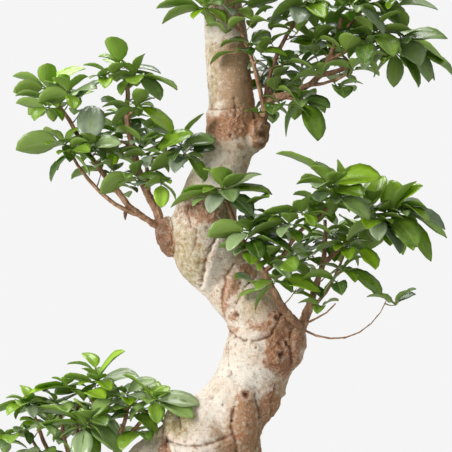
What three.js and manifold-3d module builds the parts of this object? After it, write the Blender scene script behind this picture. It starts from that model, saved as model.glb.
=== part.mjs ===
// A potted fig grown as a bonsai: an S-shaped trunk with six grafted limbs, each carrying leafy
// sprays, standing in potting soil in a plain round stoneware pot.
// Millimetres. +Z is up, +X to the right and -Y towards the viewer. The origin is the centre of the
// pot's underside.
import * as THREE from "three";
import { mergeVertices } from "three/addons/utils/BufferGeometryUtils.js";
import Module from "manifold-3d";

const wasm = await Module();
wasm.setup();

// ---- Driving dimensions ----
const SEAT_GAP = 0.3; // between two pieces that rest on each other or are grafted together

const POT_HEIGHT = 150;
const POT_RIM_RADIUS = 172;
const POT_BASE_RADIUS = 118;
const POT_WALL = 9;
const POT_FLOOR = 12;
const POT_LIP_HEIGHT = 16;
const POT_LIP_OUT = 5;
const POT_SIDES = 32;
const DRAIN_HOLES = 3;
const DRAIN_HOLE_RADIUS = 9;
const DRAIN_CIRCLE_RADIUS = 62;
const DRAIN_GROOVE_DEPTH = 4;

const MESH_SIDE = 32; // plastic mesh square over each drain hole
const MESH_THICKNESS = 1.2;
const MESH_HOLE = 9;
const MESH_HOLES_PER_SIDE = 2;

const SOIL_BELOW_RIM = 18;
const SOIL_MOUND = 9; // rise of the soil from the pot's wall to the trunk

const TREE_SCALE = 1; // of every trunk, limb and shoot place about the trunk's foot
const TRUNK_GIRTH = 1; // of the trunk's radii
const TRUNK_SIDES = 14;
const TRUNK_STEPS = 36;
const ROOT_LOBES = 5;
const ROOT_LOBE_DEPTH = 0.24; // share of the radius
const ROOT_FLARE_TOP = 235; // height where the root lobes fade out

const STEM_SIDES = 7;
const TWIG_SIDES = 4;
const SHOOT_SIDES = 4;
const SHOOT_STEPS = 3;
const SIMPLIFY = 0.25; // largest change when slivers are merged away
const GRAFT_GAP = SEAT_GAP + SIMPLIFY; // cut round a carrying piece, whose faces may still be merged
const TWIG_RADIUS = 2; // woody twig where it carries a spray
const SHOOT_RADIUS = 1.8; // green shoot at its foot
const BUD_LENGTH = 8;
const COLLAR_LENGTH = 4;

const LEAF_SCALE = 1.06; // of every leaf's length
const LEAF_WIDTH_RATIO = 0.58; // blade width over blade length
const BARE_RATIO = 0.14; // share of a leaf's length, at its foot, that may touch its own shoot
const LEAF_DROOP = 30; // degrees that a blade bends down from neck to tip
const LEAF_MIDRIB = 1.3; // thickness at the midrib
const LEAF_FOOT = 0.55; // half width and thickness where a leaf leaves its shoot
const FOOT_CLEARANCE = 0.2; // least gap between two leaves of one spray
const LEAF_CLEARANCE = 0.7; // least gap between a blade and anything else
const GOLDEN_ANGLE = 137.5;
const FULLNESS = 0.55; // share of the leaves counted as `more` that are grown

const BARK = 0xcdbfa0;
const TWIG_BARK = 0x8a6248;
const LEAF_GREEN = 0x3f7a25;
const SOIL_BROWN = 0x3b2a1f;
const STONEWARE = 0x55565a;
const MESH_BLACK = 0x202224;
const WITHERED_BROWN = 0x5a3a26;

const FOOT = new THREE.Vector3(0, 0, POT_HEIGHT - SOIL_BELOW_RIM);

// ---- The tree's own places, each a point chosen for this plant ----
// Trunk centreline with its radius: x, y, z, r.
const TRUNK_ROUTE = [
  [-6, 0, 70, 60],
  [-8, 0, 105, 70],
  [-16, 0, 145, 72],
  [-44, 4, 192, 65],
  [-82, 8, 242, 62],
  [-102, 8, 296, 61],
  [-84, 4, 346, 64],
  [-32, 0, 390, 66],
  [-4, -4, 427, 60],
  [30, -6, 465, 50],
  [52, -4, 505, 47],
  [65, 0, 548, 52],
  [63, 4, 582, 47],
  [44, 6, 614, 41],
  [14, 4, 648, 42],
  [-9, 0, 686, 50],
  [-15, -4, 722, 47],
  [-7, -4, 762, 39],
  [10, 0, 800, 34],
  [22, 2, 840, 34],
  [23, 2, 880, 33],
  [18, 0, 945, 31],
  [13, 0, 1005, 28],
  [8, -2, 1050, 25],
  [14, -2, 1092, 20],
  [22, 0, 1124, 15],
];

// Swellings on the trunk where limbs were grafted or cut: centre x, y, z and half sizes x, y, z.
const BURLS = [
  { at: [-64, -6, 700], size: [17, 24, 25] },
  { at: [54, -2, 846], size: [18, 22, 27] },
  { at: [104, -6, 550], size: [22, 30, 32] },
  { at: [-146, -6, 334], size: [26, 28, 28] },
  { at: [-20, -6, 226], size: [26, 28, 28] },
  { at: [34, -34, 462], size: [24, 22, 34] },
  { at: [32, -10, 406], size: [33, 36, 34] },
  { at: [-46, -4, 447], size: [26, 30, 26] },
  { at: [8, 18, 1062], size: [22, 18, 22] },
];

// Each limb: its woody stems (radius from foot to end, and the route), and its sprays. A spray is
// carried where `from` is; each of its shoots ends at `tip`. A leaf is [azimuth, elevation, length,
// roll]: azimuth 0 points right, 90 away from the viewer, 180 left, -90 at the viewer. `more` leaves
// of about `size` are added by the golden angle.
const LIMBS = {
  upper_left: {
    stems: [
      {
        radius: [10, 3.6],
        route: [
          [-56, -4, 690],
          [-73, -10, 713],
          [-80, -12, 737],
          [-94, -14, 762],
          [-105, -16, 790],
          [-114, -18, 824],
          [-121, -20, 858],
          [-124, -22, 880],
          [-120, -22, 900],
          [-122, -22, 914],
        ],
      },
      {
        radius: [4.2, 2.6],
        route: [
          [-92, -13, 758],
          [-93, -24, 786],
          [-97, -30, 812],
        ],
      },
      {
        radius: [6.4, 2.6],
        route: [
          [-74, -10, 712],
          [-97, -20, 728],
          [-117, -26, 742],
          [-131, -30, 761],
          [-147, -32, 780],
          [-168, -34, 808],
          [-192, -34, 847],
          [-204, -32, 868],
          [-227, -30, 896],
        ],
      },
      {
        radius: [4, 2.2],
        route: [
          [-98, -20, 728],
          [-133, -36, 744],
          [-161, -44, 767],
          [-189, -46, 802],
          [-200, -44, 822],
        ],
      },
    ],
    sprays: [
      {
        from: [-122, -22, 914],
        shoots: [
          {
            tip: [-136, -26, 946],
            leaves: [
              [-105, 56, 52, 0],
              [4, 8, 52, 20],
              [150, 5, 40, 0],
              [-40, -8, 46, 0],
            ],
            more: 3,
            size: 44,
          },
          {
            tip: [-98, -38, 922],
            leaves: [
              [-8, -6, 56, 0],
              [-20, -30, 48, 30],
              [-60, -12, 46, 20],
            ],
            more: 3,
            size: 46,
          },
          {
            tip: [-152, -52, 916],
            leaves: [
              [196, -26, 64, -20],
              [-60, 40, 34, 0],
            ],
            more: 3,
            size: 42,
          },
        ],
      },
      {
        from: [-227, -30, 896],
        shoots: [
          {
            tip: [-233, -34, 914],
            leaves: [
              [178, 36, 48, 25],
              [188, 10, 44, 50],
              [-95, 62, 44, 0],
              [8, 46, 58, 30],
              [20, 14, 34, 0],
              [80, 66, 52, 0],
            ],
            more: 1,
            size: 40,
          },
          {
            tip: [-184, -58, 890],
            leaves: [
              [188, 4, 46, 60],
              [-30, 10, 44, 30],
            ],
            more: 4,
            size: 44,
          },
          {
            tip: [-224, -54, 866],
            leaves: [
              [176, 28, 44, 30],
              [190, -8, 40, 50],
            ],
            more: 3,
            size: 40,
          },
        ],
      },
      {
        from: [-169, -44, 812],
        shoots: [
          {
            tip: [-170, -56, 834],
            leaves: [
              [88, 74, 66, 0],
              [-20, 20, 44, 40],
              [170, 30, 40, 20],
            ],
            more: 3,
            size: 42,
          },
        ],
      },
      {
        from: [-200, -44, 822],
        shoots: [
          {
            tip: [-212, -48, 834],
            leaves: [
              [180, 8, 64, 55],
              [172, 34, 42, 30],
              [-120, 40, 40, 0],
            ],
            more: 3,
            size: 38,
          },
          {
            tip: [-192, -66, 810],
            leaves: [
              [204, -40, 46, 0],
              [-50, -50, 40, 0],
              [-20, 20, 40, 30],
            ],
            more: 2,
            size: 38,
          },
        ],
      },
      {
        from: [-98, -38, 770],
        shoots: [
          {
            tip: [-116, -52, 796],
            leaves: [
              [170, -16, 50, 50],
              [-10, 10, 42, 30],
            ],
            more: 3,
            size: 38,
          },
          {
            tip: [-60, -48, 780],
            leaves: [
              [178, -10, 38, 40],
              [-60, -40, 36, 0],
            ],
            more: 4,
            size: 36,
          },
        ],
      },
      {
        from: [-97, -30, 812],
        shoots: [
          {
            tip: [-98, -42, 838],
            leaves: [
              [160, 40, 40, 20],
              [-60, 30, 36, 20],
            ],
            more: 3,
            size: 38,
          },
          {
            tip: [-82, -54, 806],
            leaves: [
              [-16, 42, 64, 35],
              [176, 12, 36, 30],
              [-60, -30, 44, 0],
            ],
            more: 2,
            size: 40,
          },
        ],
      },
      {
        from: [-114, -34, 874],
        shoots: [
          {
            tip: [-104, -44, 888],
            leaves: [
              [-6, -22, 60, 25],
              [182, -30, 44, 40],
            ],
            more: 4,
            size: 42,
          },
        ],
      },
      {
        from: [-56, -34, 812],
        shoots: [
          {
            tip: [-50, -38, 842],
            leaves: [
              [164, 38, 62, 35],
              [-95, 62, 50, 0],
              [-4, 22, 46, 40],
              [-40, 40, 42, 20],
            ],
            more: 2,
            size: 42,
          },
          {
            tip: [-36, -50, 816],
            leaves: [
              [-20, -36, 44, 20],
              [182, 2, 52, 50],
              [-4, 30, 44, 40],
            ],
            more: 2,
            size: 40,
          },
        ],
      },
      {
        from: [-140, 30, 834],
        shoots: [
          { tip: [-120, 60, 884], leaves: [], more: 7, size: 50 },
          { tip: [-74, 66, 838], leaves: [], more: 6, size: 48 },
          { tip: [-192, 44, 862], leaves: [], more: 7, size: 50 },
          { tip: [-150, 74, 804], leaves: [], more: 6, size: 46 },
        ],
      },
    ],
  },

  middle_right: {
    stems: [
      {
        radius: [9, 2.8],
        route: [
          [119, -14, 573],
          [109, -30, 586],
          [98, -42, 598],
          [88, -48, 613],
          [77, -52, 634],
          [66, -56, 657],
          [51, -60, 675],
          [31, -62, 710],
          [23, -60, 733],
          [15, -60, 752],
        ],
      },
      {
        radius: [4.2, 2.4],
        route: [
          [67, -56, 655],
          [92, -62, 676],
          [105, -64, 697],
          [122, -64, 717],
          [139, -62, 726],
          [152, -60, 742],
        ],
      },
      {
        radius: [11, 4.6],
        route: [
          [108, -8, 556],
          [121, -14, 577],
          [126, -16, 592],
          [140, -18, 634],
          [150, -20, 666],
        ],
      },
      {
        radius: [4.2, 2.6],
        route: [
          [149, -20, 662],
          [153, -20, 697],
          [152, -20, 726],
        ],
      },
      {
        radius: [4.4, 2.6],
        route: [
          [149, -20, 662],
          [175, -26, 690],
          [192, -28, 704],
          [210, -30, 728],
        ],
      },
      {
        radius: [3, 2],
        route: [
          [126, -18, 594],
          [154, -30, 627],
          [168, -36, 655],
          [180, -36, 684],
        ],
      },
      {
        radius: [2, 0.9],
        route: [
          [122, -14, 573],
          [147, -22, 563],
          [181, -26, 563],
          [207, -26, 575],
          [229, -24, 598],
          [238, -22, 616],
        ],
      },
      {
        radius: [2, 1.2],
        route: [
          [126, -20, 582],
          [154, -40, 599],
          [165, -46, 611],
        ],
      },
    ],
    sprays: [
      {
        from: [15, -60, 752],
        shoots: [
          {
            tip: [13, -64, 774],
            leaves: [
              [-100, 50, 50, 0],
              [-55, 52, 50, 0],
              [8, 40, 54, 20],
              [178, 14, 56, 10],
              [184, 0, 72, 0],
              [2, 14, 62, 15],
              [-30, -20, 50, 30],
            ],
            more: 1,
            size: 40,
          },
        ],
      },
      {
        from: [50, -68, 684],
        shoots: [
          {
            tip: [44, -74, 720],
            leaves: [
              [181, 8, 54, 50],
              [0, 10, 64, 45],
              [80, 62, 52, 0],
              [-8, -12, 66, 0],
              [-60, -20, 44, 20],
            ],
            more: 2,
            size: 42,
          },
          {
            tip: [52, -76, 690],
            leaves: [
              [172, 18, 44, 20],
              [-80, -12, 42, 0],
              [186, -4, 48, 40],
              [-20, -14, 48, 40],
            ],
            more: 2,
            size: 40,
          },
          {
            tip: [84, -78, 664],
            leaves: [
              [-50, -20, 40, 20],
              [10, -20, 46, 40],
            ],
            more: 3,
            size: 38,
          },
        ],
      },
      {
        from: [78, -64, 640],
        shoots: [
          {
            tip: [90, -72, 640],
            leaves: [
              [200, -36, 46, 30],
              [-8, 2, 60, 35],
              [-90, 30, 34, 0],
            ],
            more: 2,
            size: 38,
          },
        ],
      },
      {
        from: [106, -70, 702],
        shoots: [
          {
            tip: [92, -80, 726],
            leaves: [
              [182, -4, 58, 20],
              [170, 22, 48, 30],
            ],
            more: 4,
            size: 42,
          },
          { tip: [122, -86, 744], leaves: [[186, 14, 52, 20]], more: 5, size: 44 },
        ],
      },
      {
        from: [152, -60, 742],
        shoots: [
          {
            tip: [147, -62, 790],
            leaves: [
              [178, 42, 74, 10],
              [150, 56, 42, 10],
              [-12, 22, 68, 45],
              [-40, 2, 54, 30],
              [-110, -4, 46, 0],
            ],
            more: 2,
            size: 44,
          },
          { tip: [166, -80, 762], leaves: [[-30, -20, 56, 30]], more: 5, size: 44 },
        ],
      },
      {
        from: [152, -20, 726],
        shoots: [
          { tip: [142, -6, 752], leaves: [], more: 6, size: 46 },
          { tip: [180, -24, 762], leaves: [[-20, -16, 60, 30]], more: 5, size: 48 },
        ],
      },
      {
        from: [210, -30, 728],
        shoots: [
          {
            tip: [216, -30, 746],
            leaves: [
              [60, 68, 60, 0],
              [150, 30, 48, 20],
              [-100, 10, 46, 0],
              [-30, -36, 70, 20],
            ],
            more: 3,
            size: 44,
          },
          {
            tip: [254, -34, 724],
            leaves: [
              [96, 74, 58, 0],
              [50, 60, 58, 0],
              [0, 4, 62, 35],
              [-8, -26, 64, 30],
              [-25, -40, 68, 30],
              [-100, -62, 58, 0],
              [196, -40, 50, 30],
            ],
            more: 1,
            size: 44,
          },
          {
            tip: [222, -58, 714],
            leaves: [
              [200, -12, 50, 40],
              [-60, -44, 54, 0],
              [10, -30, 56, 20],
            ],
            more: 2,
            size: 42,
          },
        ],
      },
      {
        from: [180, -36, 684],
        shoots: [
          { tip: [190, -44, 698], leaves: [[-20, -30, 48, 30]], more: 4, size: 42 },
        ],
      },
      {
        from: [172, -46, 654],
        shoots: [
          {
            tip: [184, -52, 658],
            leaves: [
              [-8, -18, 58, 25],
              [8, -12, 72, 25],
              [190, -30, 40, 20],
            ],
            more: 1,
            size: 36,
          },
        ],
      },
      {
        from: [152, 24, 676],
        shoots: [
          { tip: [126, 48, 706], leaves: [], more: 7, size: 50 },
          { tip: [104, 40, 656], leaves: [[0, 30, 40, 0]], more: 5, size: 42 },
          { tip: [186, 42, 726], leaves: [], more: 7, size: 50 },
          { tip: [226, 30, 700], leaves: [], more: 6, size: 50 },
        ],
      },
    ],
  },

  upper_right: {
    stems: [
      {
        radius: [12, 7],
        route: [
          [46, 0, 838],
          [64, -8, 862],
          [69, -10, 878],
          [72, -12, 896],
        ],
      },
      {
        radius: [4, 2.4],
        route: [
          [68, -12, 880],
          [60, -26, 914],
          [50, -38, 949],
          [36, -42, 984],
          [26, -42, 1012],
          [22, -42, 1044],
        ],
      },
      {
        radius: [2.2, 1.6],
        route: [
          [36, -42, 982],
          [22, -50, 992],
          [6, -54, 999],
          [-8, -56, 1009],
        ],
      },
      {
        radius: [4.6, 2.6],
        route: [
          [71, -12, 890],
          [74, -18, 921],
          [84, -22, 949],
          [95, -24, 974],
          [108, -26, 994],
          [120, -28, 1012],
        ],
      },
      {
        radius: [7.4, 3],
        route: [
          [70, -11, 888],
          [84, -12, 896],
          [100, -14, 899],
          [126, -16, 910],
          [147, -18, 928],
          [158, -20, 949],
          [168, -22, 977],
          [175, -24, 1005],
        ],
      },
      {
        radius: [3.4, 2.2],
        route: [
          [157, -20, 946],
          [182, -28, 959],
          [210, -34, 977],
        ],
      },
      {
        radius: [3.4, 2.2],
        route: [
          [167, -22, 974],
          [192, -20, 1002],
          [206, -18, 1019],
        ],
      },
      {
        radius: [4.6, 2.4],
        route: [
          [144, -18, 925],
          [182, -10, 937],
          [203, -4, 949],
          [224, 0, 966],
          [240, 2, 971],
        ],
      },
      {
        radius: [2.8, 2],
        route: [
          [130, -16, 911],
          [164, -24, 918],
          [188, -30, 930],
        ],
      },
    ],
    sprays: [
      {
        from: [-8, -56, 1009],
        shoots: [
          {
            tip: [-20, -58, 1016],
            leaves: [
              [180, 16, 64, 10],
              [184, -4, 60, 10],
              [160, 36, 44, 20],
              [20, 60, 44, 0],
            ],
            more: 1,
            size: 40,
          },
        ],
      },
      {
        from: [22, -42, 1044],
        shoots: [
          { tip: [12, -48, 1066], leaves: [[182, 10, 54, 20]], more: 6, size: 48 },
        ],
      },
      {
        from: [60, -40, 944],
        shoots: [
          {
            tip: [58, -46, 962],
            leaves: [
              [0, 6, 36, 30],
              [60, 76, 46, 0],
            ],
            more: 2,
            size: 34,
          },
        ],
      },
      {
        from: [120, -28, 1012],
        shoots: [
          {
            tip: [130, -36, 1030],
            leaves: [
              [190, -16, 64, 40],
              [-60, -14, 48, 20],
            ],
            more: 5,
            size: 50,
          },
          { tip: [90, -44, 1034], leaves: [[180, 0, 56, 30]], more: 5, size: 46 },
        ],
      },
      {
        from: [175, -24, 1005],
        shoots: [
          { tip: [170, -38, 1034], leaves: [], more: 7, size: 50 },
          { tip: [194, -54, 1016], leaves: [[-20, -30, 56, 20]], more: 5, size: 46 },
        ],
      },
      {
        from: [210, -34, 977],
        shoots: [
          { tip: [226, -44, 990], leaves: [[-60, -30, 54, 10]], more: 6, size: 50 },
          { tip: [206, -58, 962], leaves: [[-120, -30, 46, 0]], more: 4, size: 44 },
          { tip: [200, -36, 940], leaves: [[200, -46, 36, 20]], more: 4, size: 42 },
        ],
      },
      {
        from: [206, -18, 1019],
        shoots: [
          { tip: [222, -16, 1038], leaves: [], more: 7, size: 52 },
          { tip: [254, -30, 1016], leaves: [[0, 10, 60, 30]], more: 6, size: 52 },
        ],
      },
      {
        from: [240, 2, 971],
        shoots: [
          {
            tip: [266, -10, 980],
            leaves: [
              [-2, 16, 62, 40],
              [0, -10, 66, 30],
              [-20, -24, 60, 30],
            ],
            more: 3,
            size: 52,
          },
          {
            tip: [248, -24, 948],
            leaves: [
              [196, -30, 44, 20],
              [-20, -42, 56, 20],
              [-8, -26, 68, 40],
              [-60, -50, 50, 0],
            ],
            more: 1,
            size: 42,
          },
          {
            tip: [284, -16, 958],
            leaves: [
              [0, -20, 66, 30],
              [-30, -36, 54, 20],
              [10, 10, 60, 20],
            ],
            more: 2,
            size: 46,
          },
        ],
      },
      {
        from: [114, -24, 892],
        shoots: [
          {
            tip: [116, -30, 884],
            leaves: [
              [204, -52, 52, 40],
              [-24, -50, 60, 40],
              [0, -8, 44, 40],
            ],
            more: 2,
            size: 38,
          },
        ],
      },
      {
        from: [86, 24, 916],
        shoots: [
          { tip: [66, 40, 938], leaves: [[-30, -30, 46, 20]], more: 6, size: 46 },
          { tip: [96, 54, 962], leaves: [], more: 6, size: 50 },
          { tip: [92, 42, 898], leaves: [[180, -20, 40, 0]], more: 5, size: 44 },
        ],
      },
      {
        from: [170, 24, 962],
        shoots: [
          { tip: [134, 40, 968], leaves: [], more: 7, size: 50 },
          { tip: [132, 46, 920], leaves: [], more: 5, size: 44 },
          { tip: [176, 44, 952], leaves: [], more: 6, size: 48 },
          { tip: [214, 50, 1004], leaves: [], more: 7, size: 52 },
          { tip: [164, 52, 1010], leaves: [], more: 6, size: 50 },
        ],
      },
    ],
  },

  lower_left: {
    stems: [
      {
        radius: [11, 8],
        route: [
          [-138, -6, 332],
          [-158, -12, 352],
          [-166, -14, 368],
        ],
      },
      {
        radius: [6, 4.4],
        route: [
          [-162, -13, 356],
          [-146, -16, 384],
          [-135, -16, 411],
        ],
      },
      {
        radius: [4, 2.8],
        route: [
          [-136, -16, 408],
          [-131, -16, 430],
          [-123, -16, 455],
          [-122, -14, 470],
        ],
      },
      {
        radius: [4, 2.6],
        route: [
          [-136, -16, 408],
          [-117, -20, 430],
          [-101, -24, 448],
          [-88, -28, 465],
        ],
      },
      {
        radius: [6.4, 4.6],
        route: [
          [-164, -13, 364],
          [-174, -16, 386],
          [-179, -18, 406],
        ],
      },
      {
        radius: [4, 2.6],
        route: [
          [-178, -18, 402],
          [-189, -20, 427],
          [-194, -20, 448],
          [-188, -20, 474],
        ],
      },
      {
        radius: [4.2, 2.6],
        route: [
          [-178, -18, 402],
          [-174, -14, 440],
          [-168, -12, 482],
        ],
      },
      {
        radius: [4.4, 2.6],
        route: [
          [-164, -14, 364],
          [-194, -18, 384],
          [-207, -18, 412],
          [-212, -18, 438],
          [-216, -18, 458],
        ],
      },
      {
        radius: [4.4, 2.6],
        route: [
          [-164, -14, 362],
          [-204, -24, 376],
          [-228, -26, 400],
          [-244, -26, 439],
          [-254, -26, 466],
        ],
      },
      {
        radius: [3.4, 2.2],
        route: [
          [-212, -25, 384],
          [-236, -34, 400],
          [-248, -38, 418],
          [-256, -38, 432],
        ],
      },
    ],
    sprays: [
      {
        from: [-168, -12, 482],
        shoots: [
          {
            tip: [-162, -14, 510],
            leaves: [
              [-12, 62, 56, 20],
              [-85, 34, 46, 0],
              [176, 26, 46, 30],
              [0, 28, 58, 20],
            ],
            more: 3,
            size: 44,
          },
        ],
      },
      {
        from: [-188, -20, 474],
        shoots: [
          {
            tip: [-196, -30, 500],
            leaves: [
              [178, 14, 56, 10],
              [186, -2, 64, 0],
              [150, 60, 36, 0],
              [-40, 10, 50, 20],
            ],
            more: 2,
            size: 44,
          },
        ],
      },
      {
        from: [-216, -18, 458],
        shoots: [
          {
            tip: [-222, -24, 480],
            leaves: [
              [180, 16, 50, 20],
              [190, 0, 70, 20],
              [-80, 10, 48, 0],
            ],
            more: 3,
            size: 46,
          },
        ],
      },
      {
        from: [-182, -38, 436],
        shoots: [
          {
            tip: [-176, -52, 456],
            leaves: [
              [168, 26, 74, 20],
              [182, 8, 64, 20],
              [-70, 44, 50, 0],
              [-12, -20, 60, 35],
              [-95, -44, 50, 0],
              [-45, -44, 46, 10],
              [10, 44, 44, 30],
            ],
            more: 1,
            size: 40,
          },
        ],
      },
      {
        from: [-254, -26, 466],
        shoots: [
          {
            tip: [-258, -30, 480],
            leaves: [
              [182, -2, 50, 20],
              [160, 34, 36, 20],
              [-30, 46, 40, 0],
              [-100, 20, 44, 0],
            ],
            more: 2,
            size: 40,
          },
        ],
      },
      {
        from: [-256, -38, 432],
        shoots: [
          {
            tip: [-262, -42, 444],
            leaves: [
              [186, -12, 36, 10],
              [-10, 30, 26, 20],
            ],
            more: 2,
            size: 30,
          },
          {
            tip: [-296, -40, 410],
            leaves: [
              [170, 12, 46, 30],
              [-90, 10, 44, 0],
            ],
            more: 4,
            size: 44,
          },
        ],
      },
      {
        from: [-88, -28, 465],
        shoots: [
          {
            tip: [-86, -48, 484],
            leaves: [
              [172, 52, 52, 10],
              [-80, 44, 44, 0],
              [0, 10, 60, 30],
              [-12, -4, 60, 20],
              [100, 60, 44, 0],
            ],
            more: 2,
            size: 42,
          },
        ],
      },
      {
        from: [-122, -14, 470],
        shoots: [
          {
            tip: [-126, -26, 488],
            leaves: [
              [0, 40, 44, 30],
              [-60, 14, 48, 0],
              [-10, -10, 54, 20],
              [180, 10, 50, 30],
            ],
            more: 3,
            size: 42,
          },
          { tip: [-116, -40, 452], leaves: [[-6, -20, 46, 20]], more: 1, size: 34 },
        ],
      },
      {
        from: [-180, 26, 432],
        shoots: [
          { tip: [-200, 50, 460], leaves: [], more: 7, size: 52 },
          { tip: [-144, 56, 466], leaves: [], more: 7, size: 52 },
          { tip: [-232, 44, 428], leaves: [], more: 6, size: 48 },
        ],
      },
    ],
  },

  lower_right: {
    stems: [
      {
        radius: [10, 4.4],
        route: [
          [-30, -6, 230],
          [16, -12, 256],
          [66, -18, 284],
          [112, -20, 308],
          [146, -20, 330],
        ],
      },
      {
        radius: [4.2, 2.6],
        route: [
          [140, -20, 326],
          [156, -22, 344],
          [164, -24, 362],
        ],
      },
      {
        radius: [4, 2.6],
        route: [
          [110, -20, 307],
          [114, -36, 330],
          [110, -44, 350],
        ],
      },
      {
        radius: [4, 2.6],
        route: [
          [142, -20, 328],
          [180, -12, 332],
          [214, -8, 344],
        ],
      },
      {
        radius: [4, 2.6],
        route: [
          [100, -20, 302],
          [126, 16, 316],
          [150, 40, 332],
        ],
      },
    ],
    sprays: [
      {
        from: [164, -24, 362],
        shoots: [
          {
            tip: [172, -26, 384],
            leaves: [
              [170, 36, 46, 30],
              [10, 30, 50, 20],
            ],
            more: 6,
            size: 50,
          },
        ],
      },
      {
        from: [110, -44, 350],
        shoots: [
          { tip: [106, -54, 372], leaves: [], more: 7, size: 50 },
          { tip: [140, -72, 350], leaves: [], more: 6, size: 46 },
        ],
      },
      {
        from: [186, 16, 340],
        shoots: [
          { tip: [226, -12, 364], leaves: [], more: 7, size: 50 },
          { tip: [210, -48, 348], leaves: [], more: 6, size: 46 },
          { tip: [136, 48, 362], leaves: [], more: 7, size: 50 },
          { tip: [190, 54, 348], leaves: [], more: 7, size: 48 },
        ],
      },
    ],
  },

  crown: {
    stems: [
      {
        radius: [11, 3],
        route: [
          [8, 18, 1046],
          [14, 38, 1066],
          [8, 42, 1110],
          [0, 30, 1150],
        ],
      },
      {
        radius: [5.4, 2.6],
        route: [
          [12, 36, 1068],
          [-26, 26, 1090],
          [-66, 6, 1104],
          [-92, -4, 1112],
        ],
      },
      {
        radius: [4.6, 2.6],
        route: [
          [10, 40, 1092],
          [44, 28, 1130],
          [62, 6, 1158],
        ],
      },
      {
        radius: [4.4, 2.6],
        route: [
          [9, 41, 1098],
          [-18, 14, 1130],
          [-34, -18, 1148],
        ],
      },
      {
        radius: [4.4, 2.6],
        route: [
          [13, 39, 1074],
          [46, 48, 1096],
          [76, 50, 1114],
        ],
      },
    ],
    sprays: [
      {
        from: [0, 30, 1150],
        shoots: [
          { tip: [8, 12, 1182], leaves: [[-90, 60, 48, 0]], more: 7, size: 50 },
          { tip: [-18, 44, 1160], leaves: [], more: 6, size: 48 },
          { tip: [-40, -30, 1168], leaves: [], more: 7, size: 50 },
        ],
      },
      {
        from: [-92, -4, 1112],
        shoots: [
          { tip: [-110, -10, 1126], leaves: [], more: 7, size: 50 },
          { tip: [-84, -44, 1108], leaves: [], more: 6, size: 48 },
          { tip: [-82, 38, 1114], leaves: [], more: 6, size: 48 },
        ],
      },
      {
        from: [70, 28, 1132],
        shoots: [
          { tip: [74, -6, 1176], leaves: [], more: 7, size: 50 },
          { tip: [56, -40, 1150], leaves: [], more: 6, size: 48 },
          { tip: [96, 54, 1132], leaves: [], more: 7, size: 50 },
          { tip: [104, 6, 1118], leaves: [], more: 6, size: 48 },
          { tip: [40, 78, 1128], leaves: [], more: 6, size: 46 },
        ],
      },
    ],
  },
};

// A dried leaf hangs below the upper left limb's second stem, this far along it.
const WITHERED = { limb: "upper_left", stem: 2, along: 0.27, stalk: 5, length: 22, radius: 3 };

// ---- Small helpers ----
const radians = THREE.MathUtils.degToRad;
const lerp = THREE.MathUtils.lerp;

// A chosen place of the tree, scaled about the trunk's foot.
function place([x, y, z]) {
  return new THREE.Vector3(x, y, z).sub(FOOT_AS_DRAWN).multiplyScalar(TREE_SCALE).add(FOOT);
}
const FOOT_AS_DRAWN = new THREE.Vector3(0, 0, 132);

// Repeatable random numbers from 0 to 1.
function randomFrom(seed) {
  let state = seed >>> 0;
  return () => {
    state = (state + 0x6d2b79f5) >>> 0;
    let t = Math.imul(state ^ (state >>> 15), 1 | state);
    t = (t + Math.imul(t ^ (t >>> 7), 61 | t)) ^ t;
    return ((t ^ (t >>> 14)) >>> 0) / 4294967296;
  };
}

function solidOf(geometry) {
  const bare = geometry.index ? geometry.clone() : mergeVertices(geometry);
  bare.deleteAttribute("normal");
  bare.deleteAttribute("uv");
  const merged = mergeVertices(bare, 1e-3);
  return new wasm.Manifold(
    new wasm.Mesh({
      numProp: 3,
      vertProperties: Float32Array.from(merged.attributes.position.array),
      triVerts: Uint32Array.from(merged.index.array),
    }),
  );
}

function geometryOf(solid) {
  const mesh = solid.getMesh();
  const geometry = new THREE.BufferGeometry();
  geometry.setAttribute("position", new THREE.BufferAttribute(mesh.vertProperties, 3));
  geometry.setIndex(new THREE.BufferAttribute(mesh.triVerts, 1));
  geometry.computeVertexNormals();
  return geometry;
}

function join(solids) {
  return solids.reduce((whole, next) => whole.add(next));
}

function largest(solid) {
  return solid.decompose().sort((a, b) => b.volume() - a.volume())[0];
}

const group = new THREE.Group();

function addNode(name, solid, color, roughness) {
  const material = new THREE.MeshStandardMaterial({ color, roughness, metalness: 0 });
  const mesh = new THREE.Mesh(geometryOf(solid), material);
  mesh.name = name;
  group.add(mesh);
}

// A closed round bar along a curve: a cylinder whose rings are moved onto the curve.
// radiusAt(share along the curve, angle round it, point) gives each ring point's radius.
function sweep(curve, radiusAt, sides, steps) {
  const bar = new THREE.CylinderGeometry(1, 1, 1, sides, steps);
  const frames = curve.computeFrenetFrames(steps, false);
  const position = bar.attributes.position;
  for (let i = 0; i < position.count; i++) {
    const step = Math.round((position.getY(i) + 0.5) * steps);
    const x = position.getX(i);
    const z = position.getZ(i);
    const centre = curve.getPointAt(step / steps);
    const normal = frames.normals[step];
    const across = new THREE.Vector3().crossVectors(normal, frames.tangents[step]);
    const radius = radiusAt(step / steps, Math.atan2(z, x), centre);
    centre.addScaledVector(normal, x * radius).addScaledVector(across, z * radius);
    position.setXYZ(i, centre.x, centre.y, centre.z);
  }
  return solidOf(bar);
}

// The centre of a swept bar at a share of its length, on the straight line between two rings.
function alongSweep(curve, steps, share) {
  const step = Math.min(Math.floor(share * steps), steps - 1);
  const start = curve.getPointAt(step / steps);
  return start.lerp(curve.getPointAt((step + 1) / steps), share * steps - step);
}

// ---- Trunk ----
const trunkCurve = new THREE.CatmullRomCurve3(TRUNK_ROUTE.map(place), false, "centripetal");
// How far along the curve each route point lies, for reading the radius in between.
const trunkMarks = TRUNK_ROUTE.map((point, i) => {
  const lengths = trunkCurve.getLengths(400 * (TRUNK_ROUTE.length - 1));
  return lengths[400 * i] / lengths[lengths.length - 1];
});

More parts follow.
